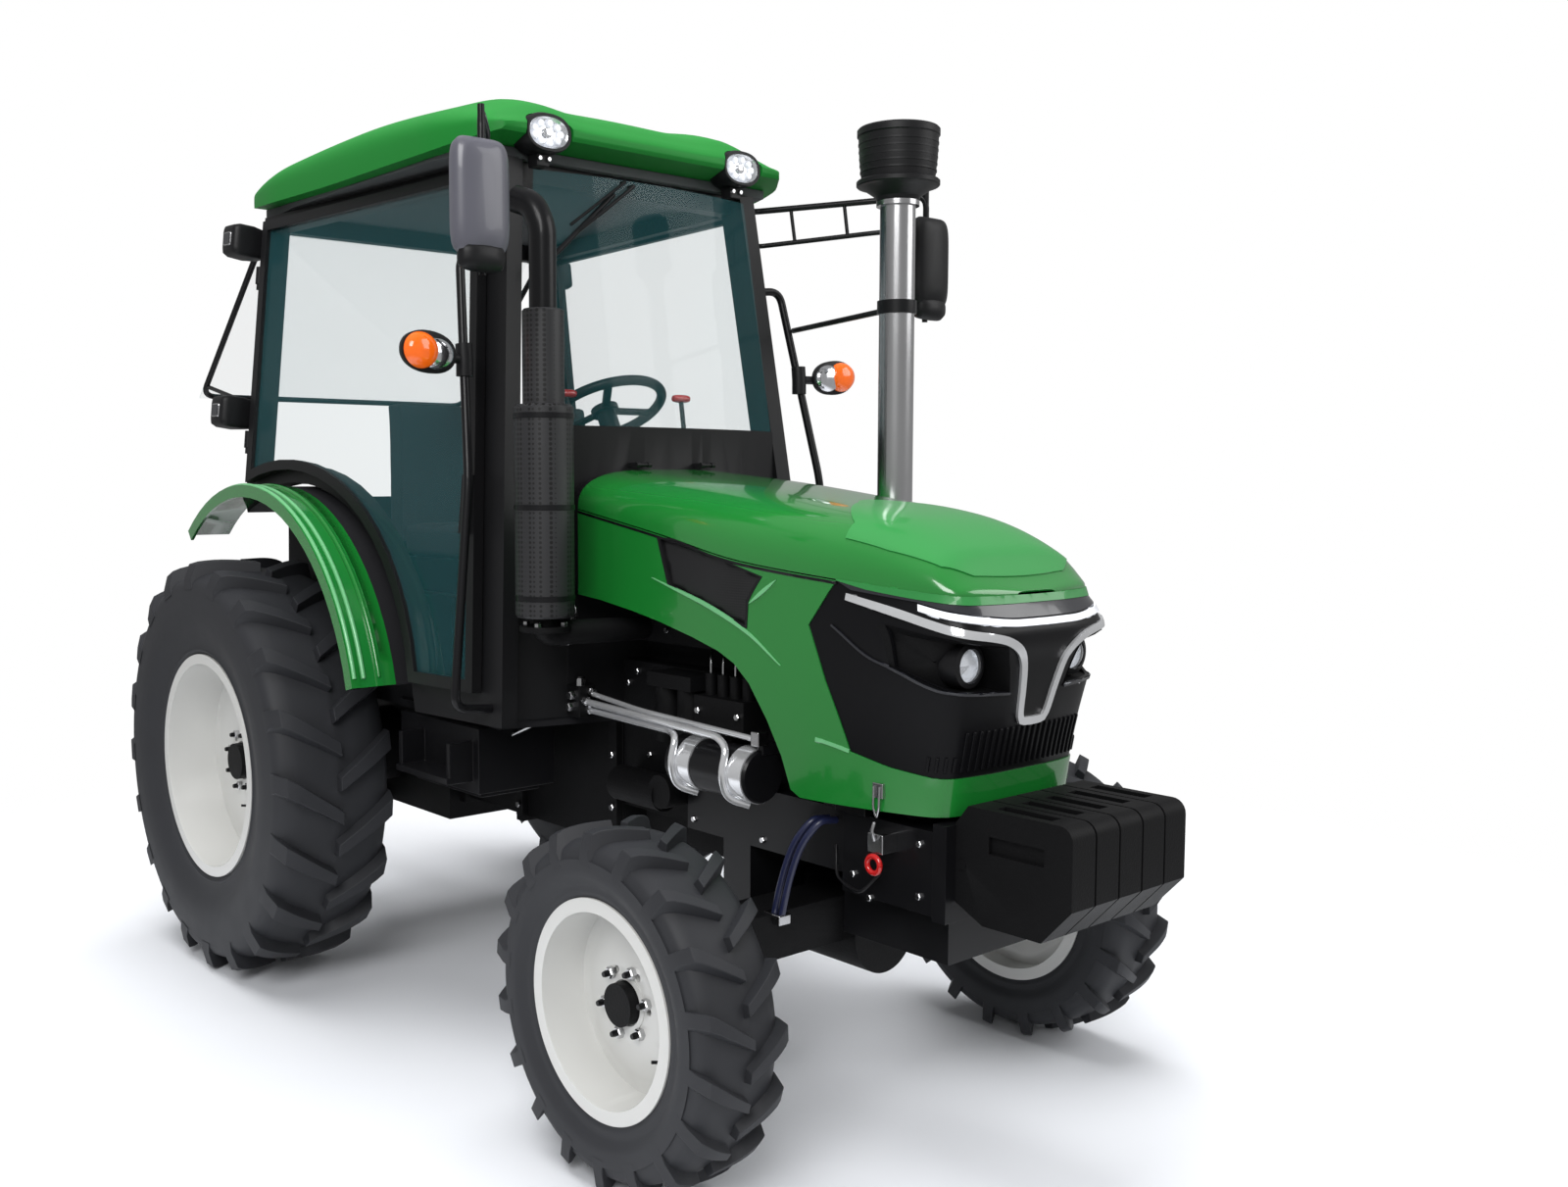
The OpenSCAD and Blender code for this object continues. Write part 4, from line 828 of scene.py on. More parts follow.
def rim(node, centre, side, bore, face_y, bolts, bolt_ring, rim_d, half):
    """White rim with nuts on studs and a dark hub."""
    dress(node, WHITE, 3, smooth=40)
    body, out = body_of(node), (0, side, 0)
    face = np.array(centre) + [0, side * face_y, 0]
    at = [(face + [bolt_ring * math.sin(a), 0, bolt_ring * math.cos(a)], out)
          for a in np.arange(bolts) * 2 * math.pi / bolts + 0.3]
    studs(node + "_nuts", at, 15, 16, STEEL, body)
    studs(node + "_studs", at, 8, 30, BLACK, body, sides=10)
    washers = [(bore * 1.28, -1), (bore * 1.28, 3), (bore * 1.06, 5), (bore * 1.02, -1)]
    turned(node + "_washers", washers, face, out, WHITE, body)
    cap = [(bore - 1, 0), (bore - 2, 24), (bore - 10, 30), (0, 31)]
    turned(node + "_hub_cap", cap, face, out, BLACK, body, bevel=1)
    stem = np.array(centre) + [rim_d * 0.40, side * (half - 30), -rim_d * 0.12]
    valve = [(6, -20), (6, 10), (4, 12), (4, 30)]
    turned(node + "_valve", valve, stem, (-0.5, side, 0.1), BLACK, body, steps=12)


REAR_AXLE = (0.0, 788.0, 697.0)
FRONT_AXLE = (2112.0, 759.0, 431.0)
for name, side in SIDES:
    rear = (REAR_AXLE[0], side * REAR_AXLE[1], REAR_AXLE[2])
    front = (FRONT_AXLE[0], side * FRONT_AXLE[1], FRONT_AXLE[2])
    tyre("rear_tyre_" + name, rear, side, d=1394, w=390, rim_d=756, bars=20, bar_h=36)
    tyre("front_tyre_" + name, front, side, d=862, w=244, rim_d=526, bars=18, bar_h=28)
    rim("rear_rim_" + name, rear, side, bore=62, face_y=26, bolts=8, bolt_ring=96, rim_d=756, half=164)
    rim("front_rim_" + name, front, side, bore=52, face_y=14, bolts=6, bolt_ring=81, rim_d=526, half=102)


# Cab

CAB_BACK, CAB_HALF, SILL_Z, TOE, LEAN = -150.0, 782.0, 1060.0, math.radians(4.7), math.radians(5.7)


def cab_side(side):
    """Places on the cab's side: u forward, y outward, v up the side."""
    def place(points):
        u, y, v = np.array(points, float).reshape(-1, 3).T
        out, up = y * math.cos(LEAN) - v * math.sin(LEAN), y * math.sin(LEAN) + v * math.cos(LEAN)
        return np.stack([CAB_BACK + u * math.cos(TOE) + out * math.sin(TOE),
                         side * (CAB_HALF - u * math.sin(TOE) + out * math.cos(TOE)), SILL_Z + up], -1)
    return place


def side_loft(name, side, rings, material, smooth=40):
    """Skin over rings given in the cab side's own coordinates."""
    place = cab_side(side)
    return loft(name, [place(ring) for ring in rings], material, smooth=smooth)


ROOF_HALF = [[-400, 500], [-330, 590], [0, 640], [500, 650], [950, 640], [1150, 600], [1240, 540]]
ROOF_EDGE = [[-400, 2690], [-330, 2665], [0, 2640], [500, 2628], [950, 2632], [1150, 2650], [1240, 2670]]
ROOF_TOP = [[-400, 2710], [-330, 2760], [0, 2822], [500, 2838], [950, 2808], [1150, 2752], [1240, 2690]]
ROOF_BROW = [[-400, 0], [200, 0], [700, 0.6], [1000, 1], [1150, 1], [1240, 0.3]]
ROOF_ENDS = -400, 1240
ROOF_SKIRT, END_TAPER = 20, 1.6
BROW_RISE, BROW_WIDTH = 30, 110
WORK_LAMP = (1190.0, 376.0, 2664.0)


def lamp_rings(side, sizes):
    """Rings round a work lamp, from (x from its middle, half width, half height)."""
    x, y, z = WORK_LAMP
    return [oval_ring((x + dx, side * y, z), half_a, half_z, power=2.3) for dx, half_a, half_z in sizes]


def roof():
    """Moulded cap with a brow over each work lamp."""
    rings = []
    turn = np.radians(np.linspace(180, 0, 73))
    for x in np.concatenate([[-404, -402], np.linspace(*ROOF_ENDS, 70), [1244, 1247]]):
        at = np.clip(x, *ROOF_ENDS)
        taper = END_TAPER * abs(x - at)
        half, edge, top = (float(flowing(t, at)) for t in (ROOF_HALF, ROOF_EDGE, ROOF_TOP))
        y = (half - taper) * np.cos(turn)
        s = np.clip(np.sin(turn), 0, 1)
        off = (np.abs(y) - WORK_LAMP[1]) / BROW_WIDTH
        brow = BROW_RISE * flowing(ROOF_BROW, at) * np.exp(-off ** 2) * s
        z = edge + (top - edge - taper) * s**0.55 + brow
        low = edge - ROOF_SKIRT + taper
        ring = np.stack([np.full_like(y, x), y, z], -1)
        rings.append(np.concatenate([[[x, y[0], low]], ring, [[x, y[-1], low]]]))
    piece = loft("roof_cap", rings, ROOF_GREEN, smooth=38)
    for side in (-1, 1):
        cut_out(piece, lamp_rings(side, ((-32, 82, 59), (120, 82, 59))), 38)
    round_edges(piece, 2)
    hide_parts("roof")


def work_lamp(name, side):
    """Oval lamp: dark bezel, ring of bright cells round a lens, clear cover."""
    x, y, z = WORK_LAMP
    y *= side
    bezel = ((-30, 80, 57), (40, 80, 57), (52, 76, 53), (52, 69, 46), (34, 64, 41), (30, 20, 12))
    piece = loft("work_lamp_bezel_" + name, lamp_rings(side, bezel), PLASTIC, smooth=40)
    if side < 0:
        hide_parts("work_lamps")
    bowl = ((48, 67, 44), (38, 55, 35), (36, 34, 20), (37, 6, 4))
    loft("work_lamp_bowl_" + name, lamp_rings(side, bowl), REFLECTOR, smooth=60, caps=False, recalc=False)
    cells = [((x + 38, y + 46 * math.cos(a), z + 28 * math.sin(a)), AHEAD)
             for a in np.arange(9) * 2 * math.pi / 9]
    studs("work_lamp_cells_" + name, cells, 11, 7, LED, sides=12)
    studs("work_lamp_centre_" + name, [((x + 37, y, z), AHEAD)], 15, 7, REFLECTOR, sides=20)
    cover = ((50, 68, 45), (54, 62, 40), (57, 40, 25), (58, 4, 3))
    loft("work_lamp_cover_" + name, lamp_rings(side, cover), LENS, smooth=60)
    rounded_box("work_lamp_bracket_" + name, (x - 30, y - 22, z - 92), (x + 20, y + 22, z - 52), PLASTIC)
    studs("work_lamp_screws_" + name, [((x + 20, y + s, z - 70), AHEAD) for s in (-16, 16)], 8, 8, STEEL)


def turn_lamp(name, side):
    """Direction lamp: amber lens outside, clear lens inside, dark back."""
    u, y, v = 1392.0, 216.0, 935.0

    def rings(shift, power, sizes):
        return [oval_ring((u + du, y + shift, v), half_y, half_v, power=power)
                for du, half_y, half_v in sizes]

    back = rings(0, 2.2, ((-44, 34, 24), (-30, 66, 44), (-6, 88, 57), (8, 90, 58), (10, 86, 54)))
    piece = side_loft("turn_lamp_back_" + name, side, back, PLASTIC)
    if side < 0:
        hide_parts("turn_lamps")
    amber = rings(30, 2, ((6, 54, 50), (18, 53, 49), (32, 44, 41), (39, 26, 24), (41, 2, 2)))
    side_loft("turn_lamp_amber_" + name, side, amber, AMBER, smooth=60)
    clear = rings(-26, 2, ((6, 58, 47), (14, 55, 45), (23, 44, 36), (28, 24, 19), (29, 2, 2)))
    side_loft("turn_lamp_clear_" + name, side, clear, REFLECTOR, smooth=60)
    place = cab_side(side)
    arm = place([(1373, 88, v), (1376, 110, v), (1380, 150, v - 4)])
    tube("turn_lamp_arm_" + name, arm, 14, PLASTIC)
    clamp = place([(1376, 76, v - 45), (1376, 80, v), (1372, 84, v + 45)])
    tube("turn_lamp_clamp_" + name, clamp, 24, PLASTIC, sides=20)


def mirror(name, side):
    """Mirror: grey shell over a dark foot, glass to the rear, on a two-bar arm."""
    cx, cy, cz = 1626.0, side * 850.0, 2345.0

    def rings(sizes):
        return [oval_ring((cx + x, cy, cz + dz), half_y, half_z, power=power, steps=56)
                for x, dz, half_y, half_z, power in sizes]

    shell = rings(((-25, 20, 76, 141, 6), (-4, 20, 80, 145, 6), (12, 20, 76, 141, 5), (23, 22, 58, 125, 4),
                   (28, 24, 24, 96, 3)))
    piece = loft("mirror_shell_" + name, shell, SHELL_GREY if side < 0 else PLASTIC, smooth=50)
    if side < 0:
        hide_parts("mirrors")
    foot = rings(((-22, -131, 58, 28, 4), (0, -129, 66, 36, 4), (18, -127, 58, 32, 3), (27, -124, 28, 18, 3)))
    loft("mirror_foot_" + name, foot, PLASTIC, smooth=50)
    glass = rings(((-24, 20, 71, 136, 6), (-27, 20, 69, 134, 6)))
    loft("mirror_glass_" + name, glass, MIRROR_FACE)
    place = cab_side(side)

    def root(v, y):
        return place([(1410 - 146 * v / 1517.6 + 44, y, v)])[0]

    top = np.array([cx - 12, side * 840.0, cz + 235])
    knee = np.array([1480, side * 740.0, cz + 225]), np.array([1490, side * 745.0, cz + 123])
    upper = [root(1505, -40), root(1505, 0), knee[0], top, top - [0, 0, 120]]
    lower = [root(1390, -40), root(1390, 0), knee[1], top - [0, 0, 105]]
    tube("mirror_arm_upper_" + name, rounded_path(upper, 40), 10, BLACK)
    tube("mirror_arm_lower_" + name, rounded_path(lower, 40), 8, BLACK)
    for k, share in enumerate((0.3, 0.75)):
        a, b = upper[1] + share * (knee[0] - upper[1]), lower[1] + share * (knee[1] - lower[1])
        bar(f"mirror_arm_rung_{k}_" + name, a, b, 6, BLACK)
    bar("mirror_stem_" + name, (cx - 12, side * 840.0, cz - 170), (cx - 12, side * 840.0, cz + 250), 9, BLACK)


def rear_lamp(name, side, level, v):
    """Work lamp behind the door: wedge-shaped case with a plate on its outer face."""
    def rings(sizes):
        return [oval_ring(((u0 + u1) / 2, y, v + (v0 + v1) / 2), (u1 - u0) / 2, (v1 - v0) / 2, AHEAD, power=7)
                for y, u0, u1, v0, v1 in sizes]

    case = rings(((-38, -128, -36, 6, 108), (10, -135, -30, 0, 115), (62, -134, -31, 2, 114),
                  (80, -128, -38, 10, 108), (86, -118, -48, 20, 98)))
    piece = side_loft(f"rear_lamp_case_{level}_{name}", side, case, PLASTIC)
    edge = rings(((85, -110, -58, 34, 84), (89, -108, -60, 36, 82)))
    side_loft(f"rear_lamp_plate_{level}_{name}", side, edge, STEEL)
    plate = rings(((88, -105, -63, 39, 79), (91, -104, -64, 40, 78)))
    side_loft(f"rear_lamp_plate_face_{level}_{name}", side, plate, VISOR)
    return piece


roof()
for name, side in SIDES:
    work_lamp(name, side)
    turn_lamp(name, side)
    mirror(name, side)
    for level, v in (("low", 785.0), ("high", 1390.0)):
        case = rear_lamp(name, side, level, v)
        if side < 0 and level == "low":
            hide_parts("rear_lamps")


# Beside and below the hood

EXHAUST = (1445.0, -543.0)
STACK = (1850.0, 440.0)


def exhaust():
    """Two pierced shields, a bent tail pipe and the pipe from the engine."""
    x, y = EXHAUST
    shield = [(36, -4), (76, 0), (82, 7), (82, 578), (76, 585), (56, 587)]
    low = turned("exhaust_shield_low", shield, (x, y, 1284), UP, SHIELD)
    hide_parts("exhaust")
    turned("exhaust_shield_high", [(58, 0), (58, 254), (53, 260), (36, 261)], (x, y, 1868), UP, SHIELD)
    for k, z in enumerate((1330, 1580, 1830)):
        band(f"exhaust_strap_{k}", 81, 84, 16, (x, y, z), UP, BLACK)
    tail = [(x, y, 2120), (x, y, 2350), (x - 30, y - 9, 2412), (x - 88, y - 26, 2434)]
    tube("exhaust_tail", rounded_path(tail, 70, 10), 38, BLACK, sides=28)
    turned("exhaust_flange", [(36, 0), (72, 0), (72, 16), (36, 16)], (x, y, 1244), UP, CAST, bevel=2)
    bolts = [((x + 56 * math.cos(a), y + 56 * math.sin(a), 1260), UP)
             for a in np.arange(4) * math.pi / 2 + 0.6]
    studs("exhaust_flange_bolts", bolts, 10, 12, STEEL)
    leg = [(x, y, 1290), (x, y, 1238), (x + 50, -310, 1238), (x + 50, -225, 1238)]
    tube("exhaust_leg", rounded_path(leg, 60, 10), 35, CAST, sides=24)


def intake():
    """Bright stack with a dark pre-cleaner, its clamp and the strut to the grab rail."""
    x, y = STACK
    pipe = turned("intake_pipe", [(50, 0), (52, 2), (52, 1300)], (x, y, 1178), UP, STEEL)
    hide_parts("intake_stack")
    cleaner = [(53, -6), (62, 0), (66, 12), (106, 40), (119, 42), (122, 45), (122, 56), (119, 59), (107, 60),
               (108, 66), (114, 120), (117, 184), (121, 187), (121, 204), (116, 209), (0, 211)]
    turned("pre_cleaner", cleaner, (x, y, 2478), UP, PLASTIC, steps=96)
    for k, z in enumerate((80, 100, 120, 140, 160)):
        r = 109.5 + (z - 66) * 0.07
        band(f"pre_cleaner_rib_{k}", r - 3, r + 1.5, 7, (x, y, 2478 + z), UP, PLASTIC)
    band("pre_cleaner_band", 55, 63, 16, (x, y, 2462), UP, STEEL)
    foot = [(x, y, 1182), (x, y, 1130), (x, 330, 1060), (x, 196, 1060)]
    tube("intake_elbow", rounded_path(foot, 70, 8), 54, BELLOWS, sides=24)
    band("intake_clamp", 51, 58, 40, (x, y, 2150), UP, BLACK)
    bar("intake_strut", (x - 50, y + 22, 2170), (1178, 668, 2170), 9, BLACK)


def hydraulics():
    """Oil canister with bright bands, and the bright pipes that hook round it."""
    x, y, z = 1765.0, -310.3, 905.0
    case = [(50, 0), (66, 0), (70, 6), (70, 314), (66, 320), (40, 321)]
    can = turned("oil_canister", case, (x, y, z), AHEAD, BLACK)
    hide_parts("hydraulic_lines")
    for k, at in enumerate((55, 260)):
        band(f"canister_band_{k}", 69, 73, 56, (x + at - 6, y, z), AHEAD, CHROME)
        rounded_box(f"canister_saddle_{k}", (x + at - 12, y + 20, 850), (x + at + 30, -236, z), BLACK)
        hook = [(1315, -330 - 14 * k, 992 + 26 * k), (x + at - 60, -348 - 14 * k, 984 + 14 * k),
                (x + at - 14, -372, 976), (x + at - 14, -391, 905), (x + at - 10, -374, 846),
                (x + at + 30, -330, 828)]
        tube(f"oil_pipe_{k}", rounded_path(hook, 34, 8), 10, CHROME)
    rail = [(1315, -322, 1042), (1600, -330, 1018), (2080, -322, 1000)]
    tube("oil_pipe_top", rounded_path(rail, 60, 6), 8, CHROME)
    rounded_box("oil_pipe_top_end", (2066, -340, 985), (2096, -304, 1024), STEEL)
    rounded_box("oil_pipe_stay", (2072, -318, 960), (2090, -196, 992), BLACK)
    rounded_box("valve_block", (1286, -362, 968), (1352, -300, 1062), CAST)
    fittings = [((1352, y, z), AHEAD) for y, z in ((-330, 992), (-344, 1018), (-322, 1042))]
    fittings += outward(-362, ((1320, 1000), (1330, 1035)))
    fittings += [((x, y, 1062), UP) for x, y in ((1318, -330), (1338, -346))]
    studs("valve_fittings", fittings, 14, 22, STEEL)


def engine_trim():
    """Bolts, unions and thin pipes on the dark engine."""
    bolts = outward(-195.0, ((1531, 1022), (1561, 1025), (1756, 1095), (1377, 1062), (1452, 958),
                             (1420, 1100), (1660, 1105), (1700, 905), (1480, 860), (1960, 1110), (2050, 1110),
                             (2050, 960)))
    bolts += outward(-230, [(x, 1238) for x in (1470, 1600, 1730, 1860, 1980)])
    bolts += outward(-285, [(x, 1040) for x in (1800, 1960)])
    studs("engine_bolts", bolts, 10, 10, STEEL)
    flanges = [(x, z) for x in (458, 818, 1328) for z in (600, 680, 760, 840)]
    studs("gearbox_bolts", outward(-222, flanges), 11, 10, STEEL)
    for k in range(4):
        x = 1805 + 50 * k
        bend = x - 30 + 12 * k
        line = [(x, -245, 1135), (x, -245, 1175), (bend, -215, 1215), (bend, -170, 1290), (x - 30, -120, 1300)]
        tube(f"injector_pipe_{k}", rounded_path(line, 25, 5), 4, STEEL, sides=10)
    for k in range(3):
        y = -372 - 12 * k
        loop = [(1300, y, 1180), (1345 + 8 * k, y, 1190), (1352 + 8 * k, y, 1290), (1330, y, 1312),
                (1284, y, 1300)]
        tube(f"fuel_pipe_{k}", rounded_path(loop, 22, 6), 4.5, STEEL, sides=10)
    bar("linkage_rod", (886, -598, 760), (1246, -452, 945), 6, STEEL, sides=10)


def front_pipes():
    """Steering pipes from the rail to the axle, and the small fittings there."""
    for k, shift in enumerate((0, 26)):
        line = [(2262, -254, 822), (2262, -300, 826), (2225, -338, 760), (2190, -350, 650), (2172, -352, 575)]
        tube(f"steering_pipe_{k}", flowing_path(line, 14) + [shift, 0, 0], 9, HOSE_BLUE)
    rounded_box("steering_pipe_port", (2150, -372, 555), (2210, -330, 582), STEEL)
    line = [(2290, -254, 760), (2330, -285, 690), (2400, -290, 672), (2440, -254, 720)]
    tube("wire_loop", flowing_path(line, 14), 4, BLACK)
    frame_bolts = outward(-254, ((2350, 700), (2405, 652), (2560, 690), (2560, 815)))
    studs("frame_bolts", frame_bolts, 9, 8, STEEL)
    studs("rail_bolts", outward(-240, ((1730, 720), (1890, 815), (2010, 715))), 9, 8, STEEL)


def hood_latch():
    """Catch on the hood's band, with its hook and red pull ring on the frame."""
    spot = side_skin(*on_side([(2474, -301, 934)]).T)[0]
    rounded_box("latch_plate", spot + [-16, -6, -18], spot + [16, 8, 18], STEEL, HOOD, bevel=2)
    bail = spot + [(-9, -8, 10), (-9, -10, -40), (0, -8, -66), (9, -10, -40), (9, -8, 10)]
    tube("latch_bail", rounded_path(bail, 8, 4), 3, STEEL, HOOD, sides=10)
    foot = np.array([spot[0] - 4, spot[1] - 2, 0])
    rounded_box("latch_bracket", foot + [-26, -4, 782], (foot[0] + 22, -250, 830), STEEL, bevel=3)
    tube("latch_hook", foot + [(0, -8, 815), (0, -16, 840), (0, -8, 858)], 5, STEEL)
    turn = np.linspace(0, 2 * math.pi, 25)
    ring = np.stack([20 * np.cos(turn), np.full(25, -10), 757 + 20 * np.sin(turn)], -1)
    tube("latch_ring", foot + ring, 7, RED)


def hood_seal():
    """Ribbed bellows between the hood and the cab."""
    middle = np.array([HOOD_X0, 0, 1450.0])
    rim_line = top_skin(np.zeros(61), np.linspace(0, 180, 61)) - middle
    rings = []
    for k, x in enumerate(np.linspace(1286, 1343, 13)):
        inset = 17 if k % 2 else 8
        arc = middle + rim_line * (1 - inset / 330)
        leg = np.linspace(arc[0][2], 1345, 8)[1:]
        left, right = (np.stack([0 * leg, end[1] + 0 * leg, leg], -1) for end in (arc[0], arc[-1]))
        ring = np.concatenate([left[::-1], arc, right])
        ring[:, 0] = x
        rings.append(ring)
    loft("hood_seal", rings, BELLOWS, smooth=20, closed=False, recalc=False)


exhaust()
intake()
hydraulics()
engine_trim()
front_pipes()
hood_latch()
hood_seal()


# Cab fittings

def grab_rail(name, side):
    place = cab_side(side)
    path = place([(1310, -40, 1240), (1310, 75, 1240), (1440, 85, 600), (1450, 85, -40), (1450, -40, -40)])
    piece = tube("grab_rail_tube_" + name, rounded_path(path, 45, 8), 13, BLACK, sides=18)
    if side < 0:
        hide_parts("grab_rails")


def hand_lever(k, y):
    rod = bar(f"hand_lever_rod_{k}", (1130, y, 1667), (1090, y, 1922), 8, BLACK)
    grip = [oval_ring((1090, y + s, 1928), r, r, AHEAD, steps=20) for s, r in
            ((-34, 4), (-32, 10), (-20, 13), (20, 13), (32, 10), (34, 4))]
    loft(f"hand_lever_grip_{k}", grip, RED, smooth=50)
    return rod


def wiper():
    pivot, end = np.array([1282.0, -100, 2540]), np.array([1266.0, -292, 2390])
    arm = tube("wiper_arm", [pivot - [27.5, 0, 0], pivot, (pivot + end) / 2 + [6, 0, 0], end], 6, BLACK)
    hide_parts("wiper")
    tube("wiper_link", [pivot + [-20, -34, 8], pivot + [2, -34, 8], end + [-2, -28, 14]], 5, BLACK)
    tube("wiper_blade", np.linspace((1268, -165, 2510), (1256, -420, 2270), 4), 8, BLACK)


PAD_INSET, PAD_VOXEL, PAD_REACH = 0.024, 0.012, 0.016  # metres
PAD_PRESSURE, PAD_STEPS = 4, 20


def cushion(node):
    """Seat pad blown up as cloth, from the CAD block."""
    source = frame["nodes"][node]
    piece = new_object(node + "_pad", source.data.copy())
    bpy.context.view_layer.objects.active = piece
    low, high = (np.array(c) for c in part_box(node))
    middle = (low + high) / 2
    share = (high - low - PAD_INSET) / (high - low)
    for v in piece.data.vertices:
        v.co = Vector(middle + (np.array(v.co) - middle) * share)
    remesh = piece.modifiers.new("even", "REMESH")
    remesh.mode = "VOXEL"
    remesh.voxel_size = PAD_VOXEL
    apply_modifiers(piece)
    start = np.array([v.co for v in piece.data.vertices])
    cloth = piece.modifiers.new("cloth", "CLOTH")
    cloth.settings.use_pressure = True
    cloth.settings.uniform_pressure_force = PAD_PRESSURE
    cloth.settings.effector_weights.gravity = 0
    for step in range(1, PAD_STEPS + 1):
        bpy.context.scene.frame_set(step)
    apply_modifiers(piece)
    bpy.context.scene.frame_set(1)
    moved = np.array([v.co for v in piece.data.vertices]) - start
    reach = np.linalg.norm(moved, axis=1, keepdims=True)
    moved *= np.minimum(1, PAD_REACH / np.maximum(reach, 1e-9))
    for v, place in zip(piece.data.vertices, start + moved):
        v.co = Vector(place)
    finish_piece(piece, CLOTH, source["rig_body"], smooth=70)
    smoother = piece.modifiers.new("soft", "SUBSURF")
    smoother.levels = smoother.render_levels = 1
    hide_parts(node)


def rear_window_frame():
    """Dark frame round the open rear window, with its two stays."""
    tilt = math.radians(48)
    x, z, half, tall = -238.0, 2545.0, 600.0, 840.0

    def at(y, drop):
        return (x - 4 - drop * math.sin(tilt), y, z - drop * math.cos(tilt))

    loop = [at(-half + 40, 6), at(-half + 9, 20), at(-half + 9, tall - 12), at(half - 9, tall - 12),
            at(half - 9, 20), at(half - 40, 6)]
    tube("rear_window_frame", rounded_path(loop, 60, 8), 11, BLACK)
    for name, side in SIDES:
        start = at(side * (half - 12), tall * 0.92)
        bar("rear_window_stay_" + name, start, (-205, side * 600, 1905), 8, BLACK)


def mudguard_bead(name, side):
    """Rounded beads along the top of a mudguard, which catch the light; all but the innermost carry a painted
    highlight in a lighter green.
    """
    turn = np.radians(np.linspace(126, 16, 70))
    for k, (y, r) in enumerate(((756, 786), (806, 784), (838, 787))):
        path = np.stack([120 + r * np.cos(turn), np.full(70, side * float(y)), 858 + r * np.sin(turn)], -1)
        tube(f"mudguard_bead_{k}_{name}", path, 7, HIGHLIGHT_GREEN if k else GREEN, sides=12)


rear_window_frame()
for name, side in SIDES:
    grab_rail(name, side)
    mudguard_bead(name, side)
for k, y in enumerate((-215.0, 243.0)):
    rod = hand_lever(k, y)
    if k == 0:
        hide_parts("hand_levers")
wiper()
cushion("seat_cushion")
cushion("seat_back")


DONE = {
    "hood_shell", "side_vents", "nose_grille", "head_lamps", "roof", "work_lamps", "turn_lamps", "mirrors",
    "rear_lamps", "exhaust", "intake_stack", "hydraulic_lines", "grab_rails", "hand_levers", "wiper",
    "seat_cushion", "seat_back",
}
DONE |= {f"{end}_{what}_{name}" for end in ("rear", "front") for what in ("tyre", "rim") for name, _ in SIDES}
LOOK = {
    "paint_green": (GREEN, 4), "coat_black": (BLACK, 3), "cast_black": (CAST, 5), "rim_white": (WHITE, 2),
    "tyre_black": (RUBBER, 5), "bright": (STEEL, 1), "clear_glass": (GLASS, 0), "lamp_white": (LENS, 2),
    "amber": (AMBER, 4), "red": (RED, 3), "grey_trim": (LINER, 4), "cloth": (CLOTH, 20),
}
SPECIAL = {
    "front_weights": (CAST, 8), "mudguards": (GREEN, 0), "cab_tub": (LINER_DARK, 3),
    "dash_console": (PLASTIC, 12), "steering_wheel": (PLASTIC, 2), "door_right": (PLASTIC, 5),
    "door_left": (PLASTIC, 5), "cab_frame": (PLASTIC, 4), "firewall": (PLASTIC, 2),
}
for part in frame["record"]["subparts"]:
    if part["node"] not in DONE:
        look, edge = SPECIAL.get(part["node"], LOOK[part["material_slot"]])
        dress(part["node"], look, edge)


# Studio

def map_range(tree, value, low, high, **limits):
    """A value mapped to the range from low to high."""
    node = node_in(tree, "MapRange", **limits.pop("settings", {}))
    for label, limit in (("To Min", low), ("To Max", high), *limits.items()):
        node.inputs[label.replace("_", " ")].default_value = limit
    feed(tree, node.inputs["Value"], value)
    return node.outputs[0]


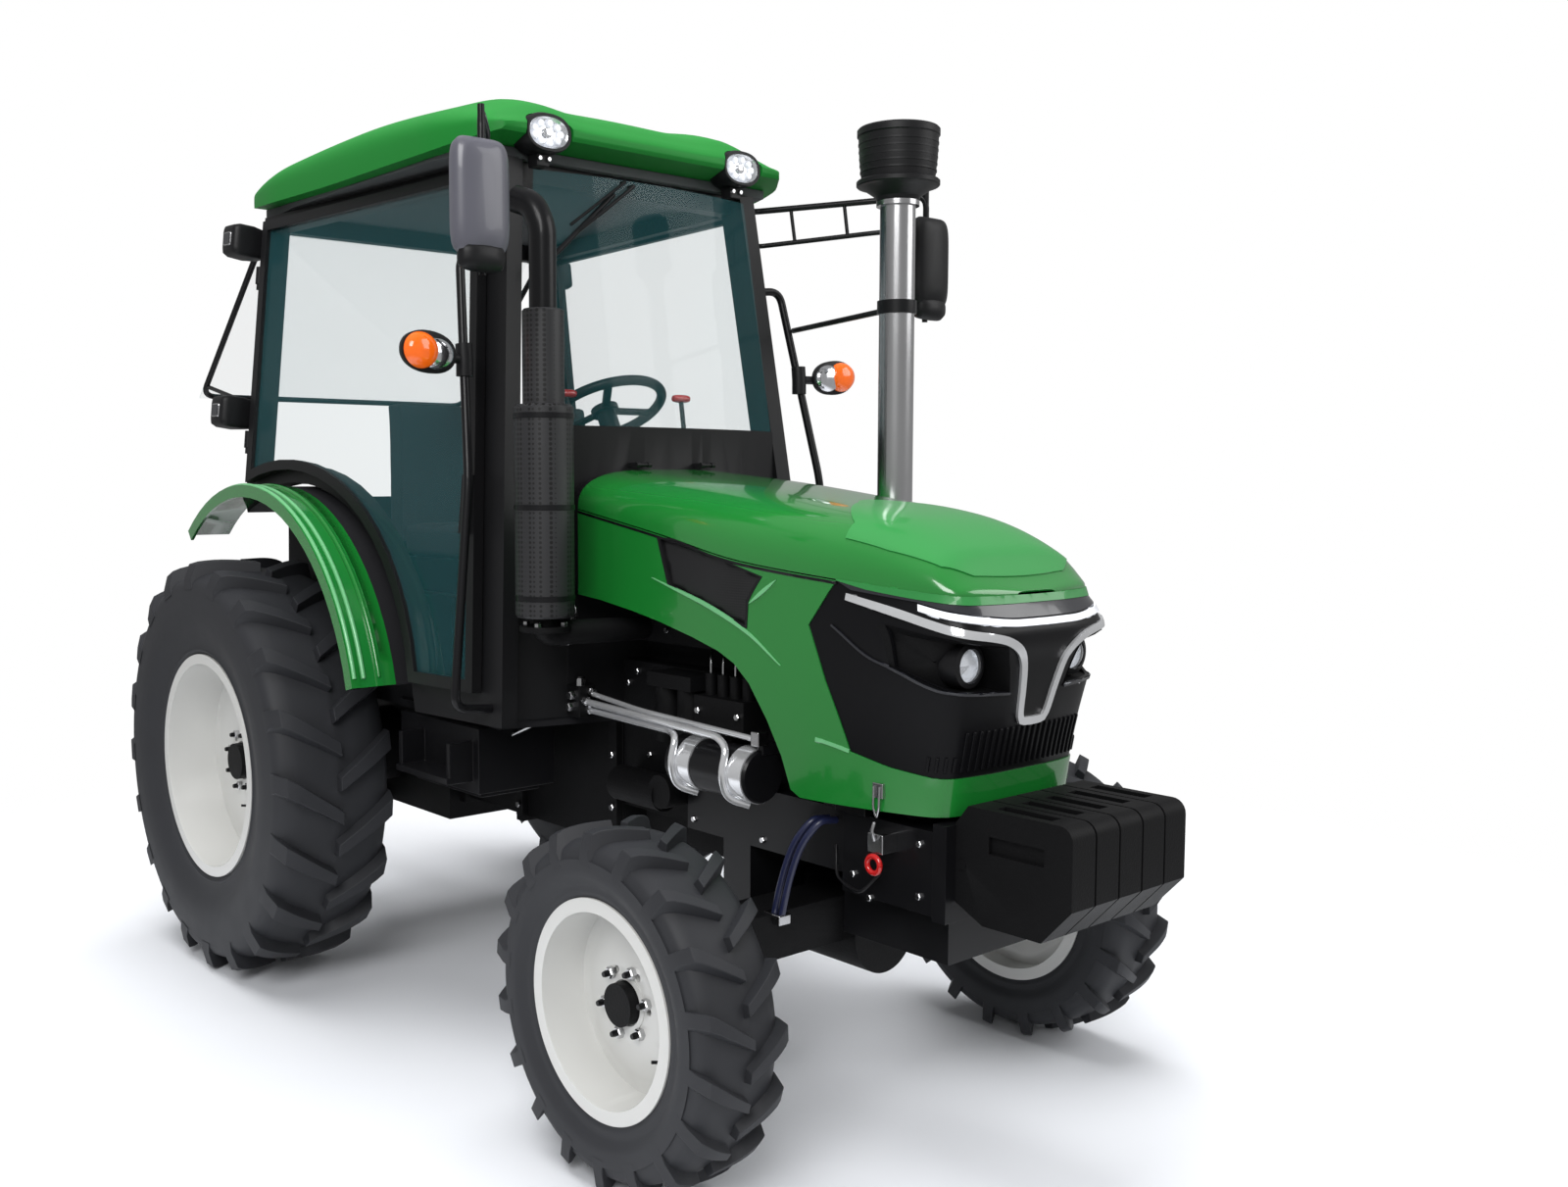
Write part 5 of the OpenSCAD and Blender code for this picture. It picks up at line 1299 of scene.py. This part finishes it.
def fading_floor():
    """Pale floor that fades into the white room away from the tractor and is clear from below."""
    material = finish_of("studio_floor", (0.86, 0.88, 0.92), 0.8, drift=0.01, spec=0.1)
    tree = material.node_tree
    far = node_in(tree, "VectorMath", operation="LENGTH")
    feed(tree, far.inputs[0], node_in(tree, "TexCoord").outputs["Object"])
    fade = map_range(tree, far.outputs["Value"], 1.0, 0.0, From_Min=1.6, From_Max=4.2,
                     settings={"interpolation_type": "SMOOTHSTEP"})
    behind = node_in(tree, "NewGeometry").outputs["Backfacing"]
    feed(tree, shader_of(material)["Alpha"], maths(tree, "SUBTRACT", fade, behind, clamp=True))
    return material


def studio():
    """White room: the camera sees white, also through glass, and the rest is lit softly."""
    scene = bpy.context.scene
    world = bpy.data.worlds.new("studio")
    scene.world = world
    world.use_nodes = True
    tree = world.node_tree
    sky = tree.nodes["Background"].inputs
    sky[0].default_value = (1, 1, 1, 1)
    rays = node_in(tree, "LightPath").outputs
    seen = maths(tree, "MAXIMUM", rays["Is Camera Ray"], rays["Is Transmission Ray"])
    feed(tree, sky[1], map_range(tree, seen, 0.34, 1.0))
    bpy.ops.mesh.primitive_plane_add(size=60, location=(0, 0, 0))
    floor = bpy.context.object
    floor.name = "studio_floor"
    floor.data.materials.append(fading_floor())
    for name, place, size, power in (
        ("key light", (6, -7, 7), 5, 620),
        ("fill light", (7, 6, 6), 6, 300),
        ("top light", (-1, 0, 8), 8, 800),
    ):
        lamp = bpy.data.lights.new(name, "AREA")
        lamp.energy = power
        lamp.size = size
        holder = new_object(name, lamp)
        holder.location = place
        holder.rotation_euler = (Vector((0, 0, 1)) - Vector(place)).to_track_quat("-Z", "Y").to_euler()
        holder.visible_glossy = name != "top light"
    scene.view_settings.view_transform = "Standard"


def camera():
    """The photograph's viewpoint, fitted to the wheels, hood and cab."""
    lens = bpy.data.cameras.new("camera")
    lens.sensor_width = 36
    lens.lens = 32.98
    lens.shift_x = 0.0624
    lens.shift_y = -0.0033
    holder = new_object("camera", lens)
    holder.location = (3.727, -2.795, 1.664)
    yaw, pitch = math.radians(50.03), math.radians(4.33)
    ahead = Vector((-math.sin(yaw) * math.cos(pitch), math.cos(yaw) * math.cos(pitch), -math.sin(pitch)))
    holder.rotation_euler = ahead.to_track_quat("-Z", "Y").to_euler()
    bpy.context.scene.camera = holder


studio()
camera()
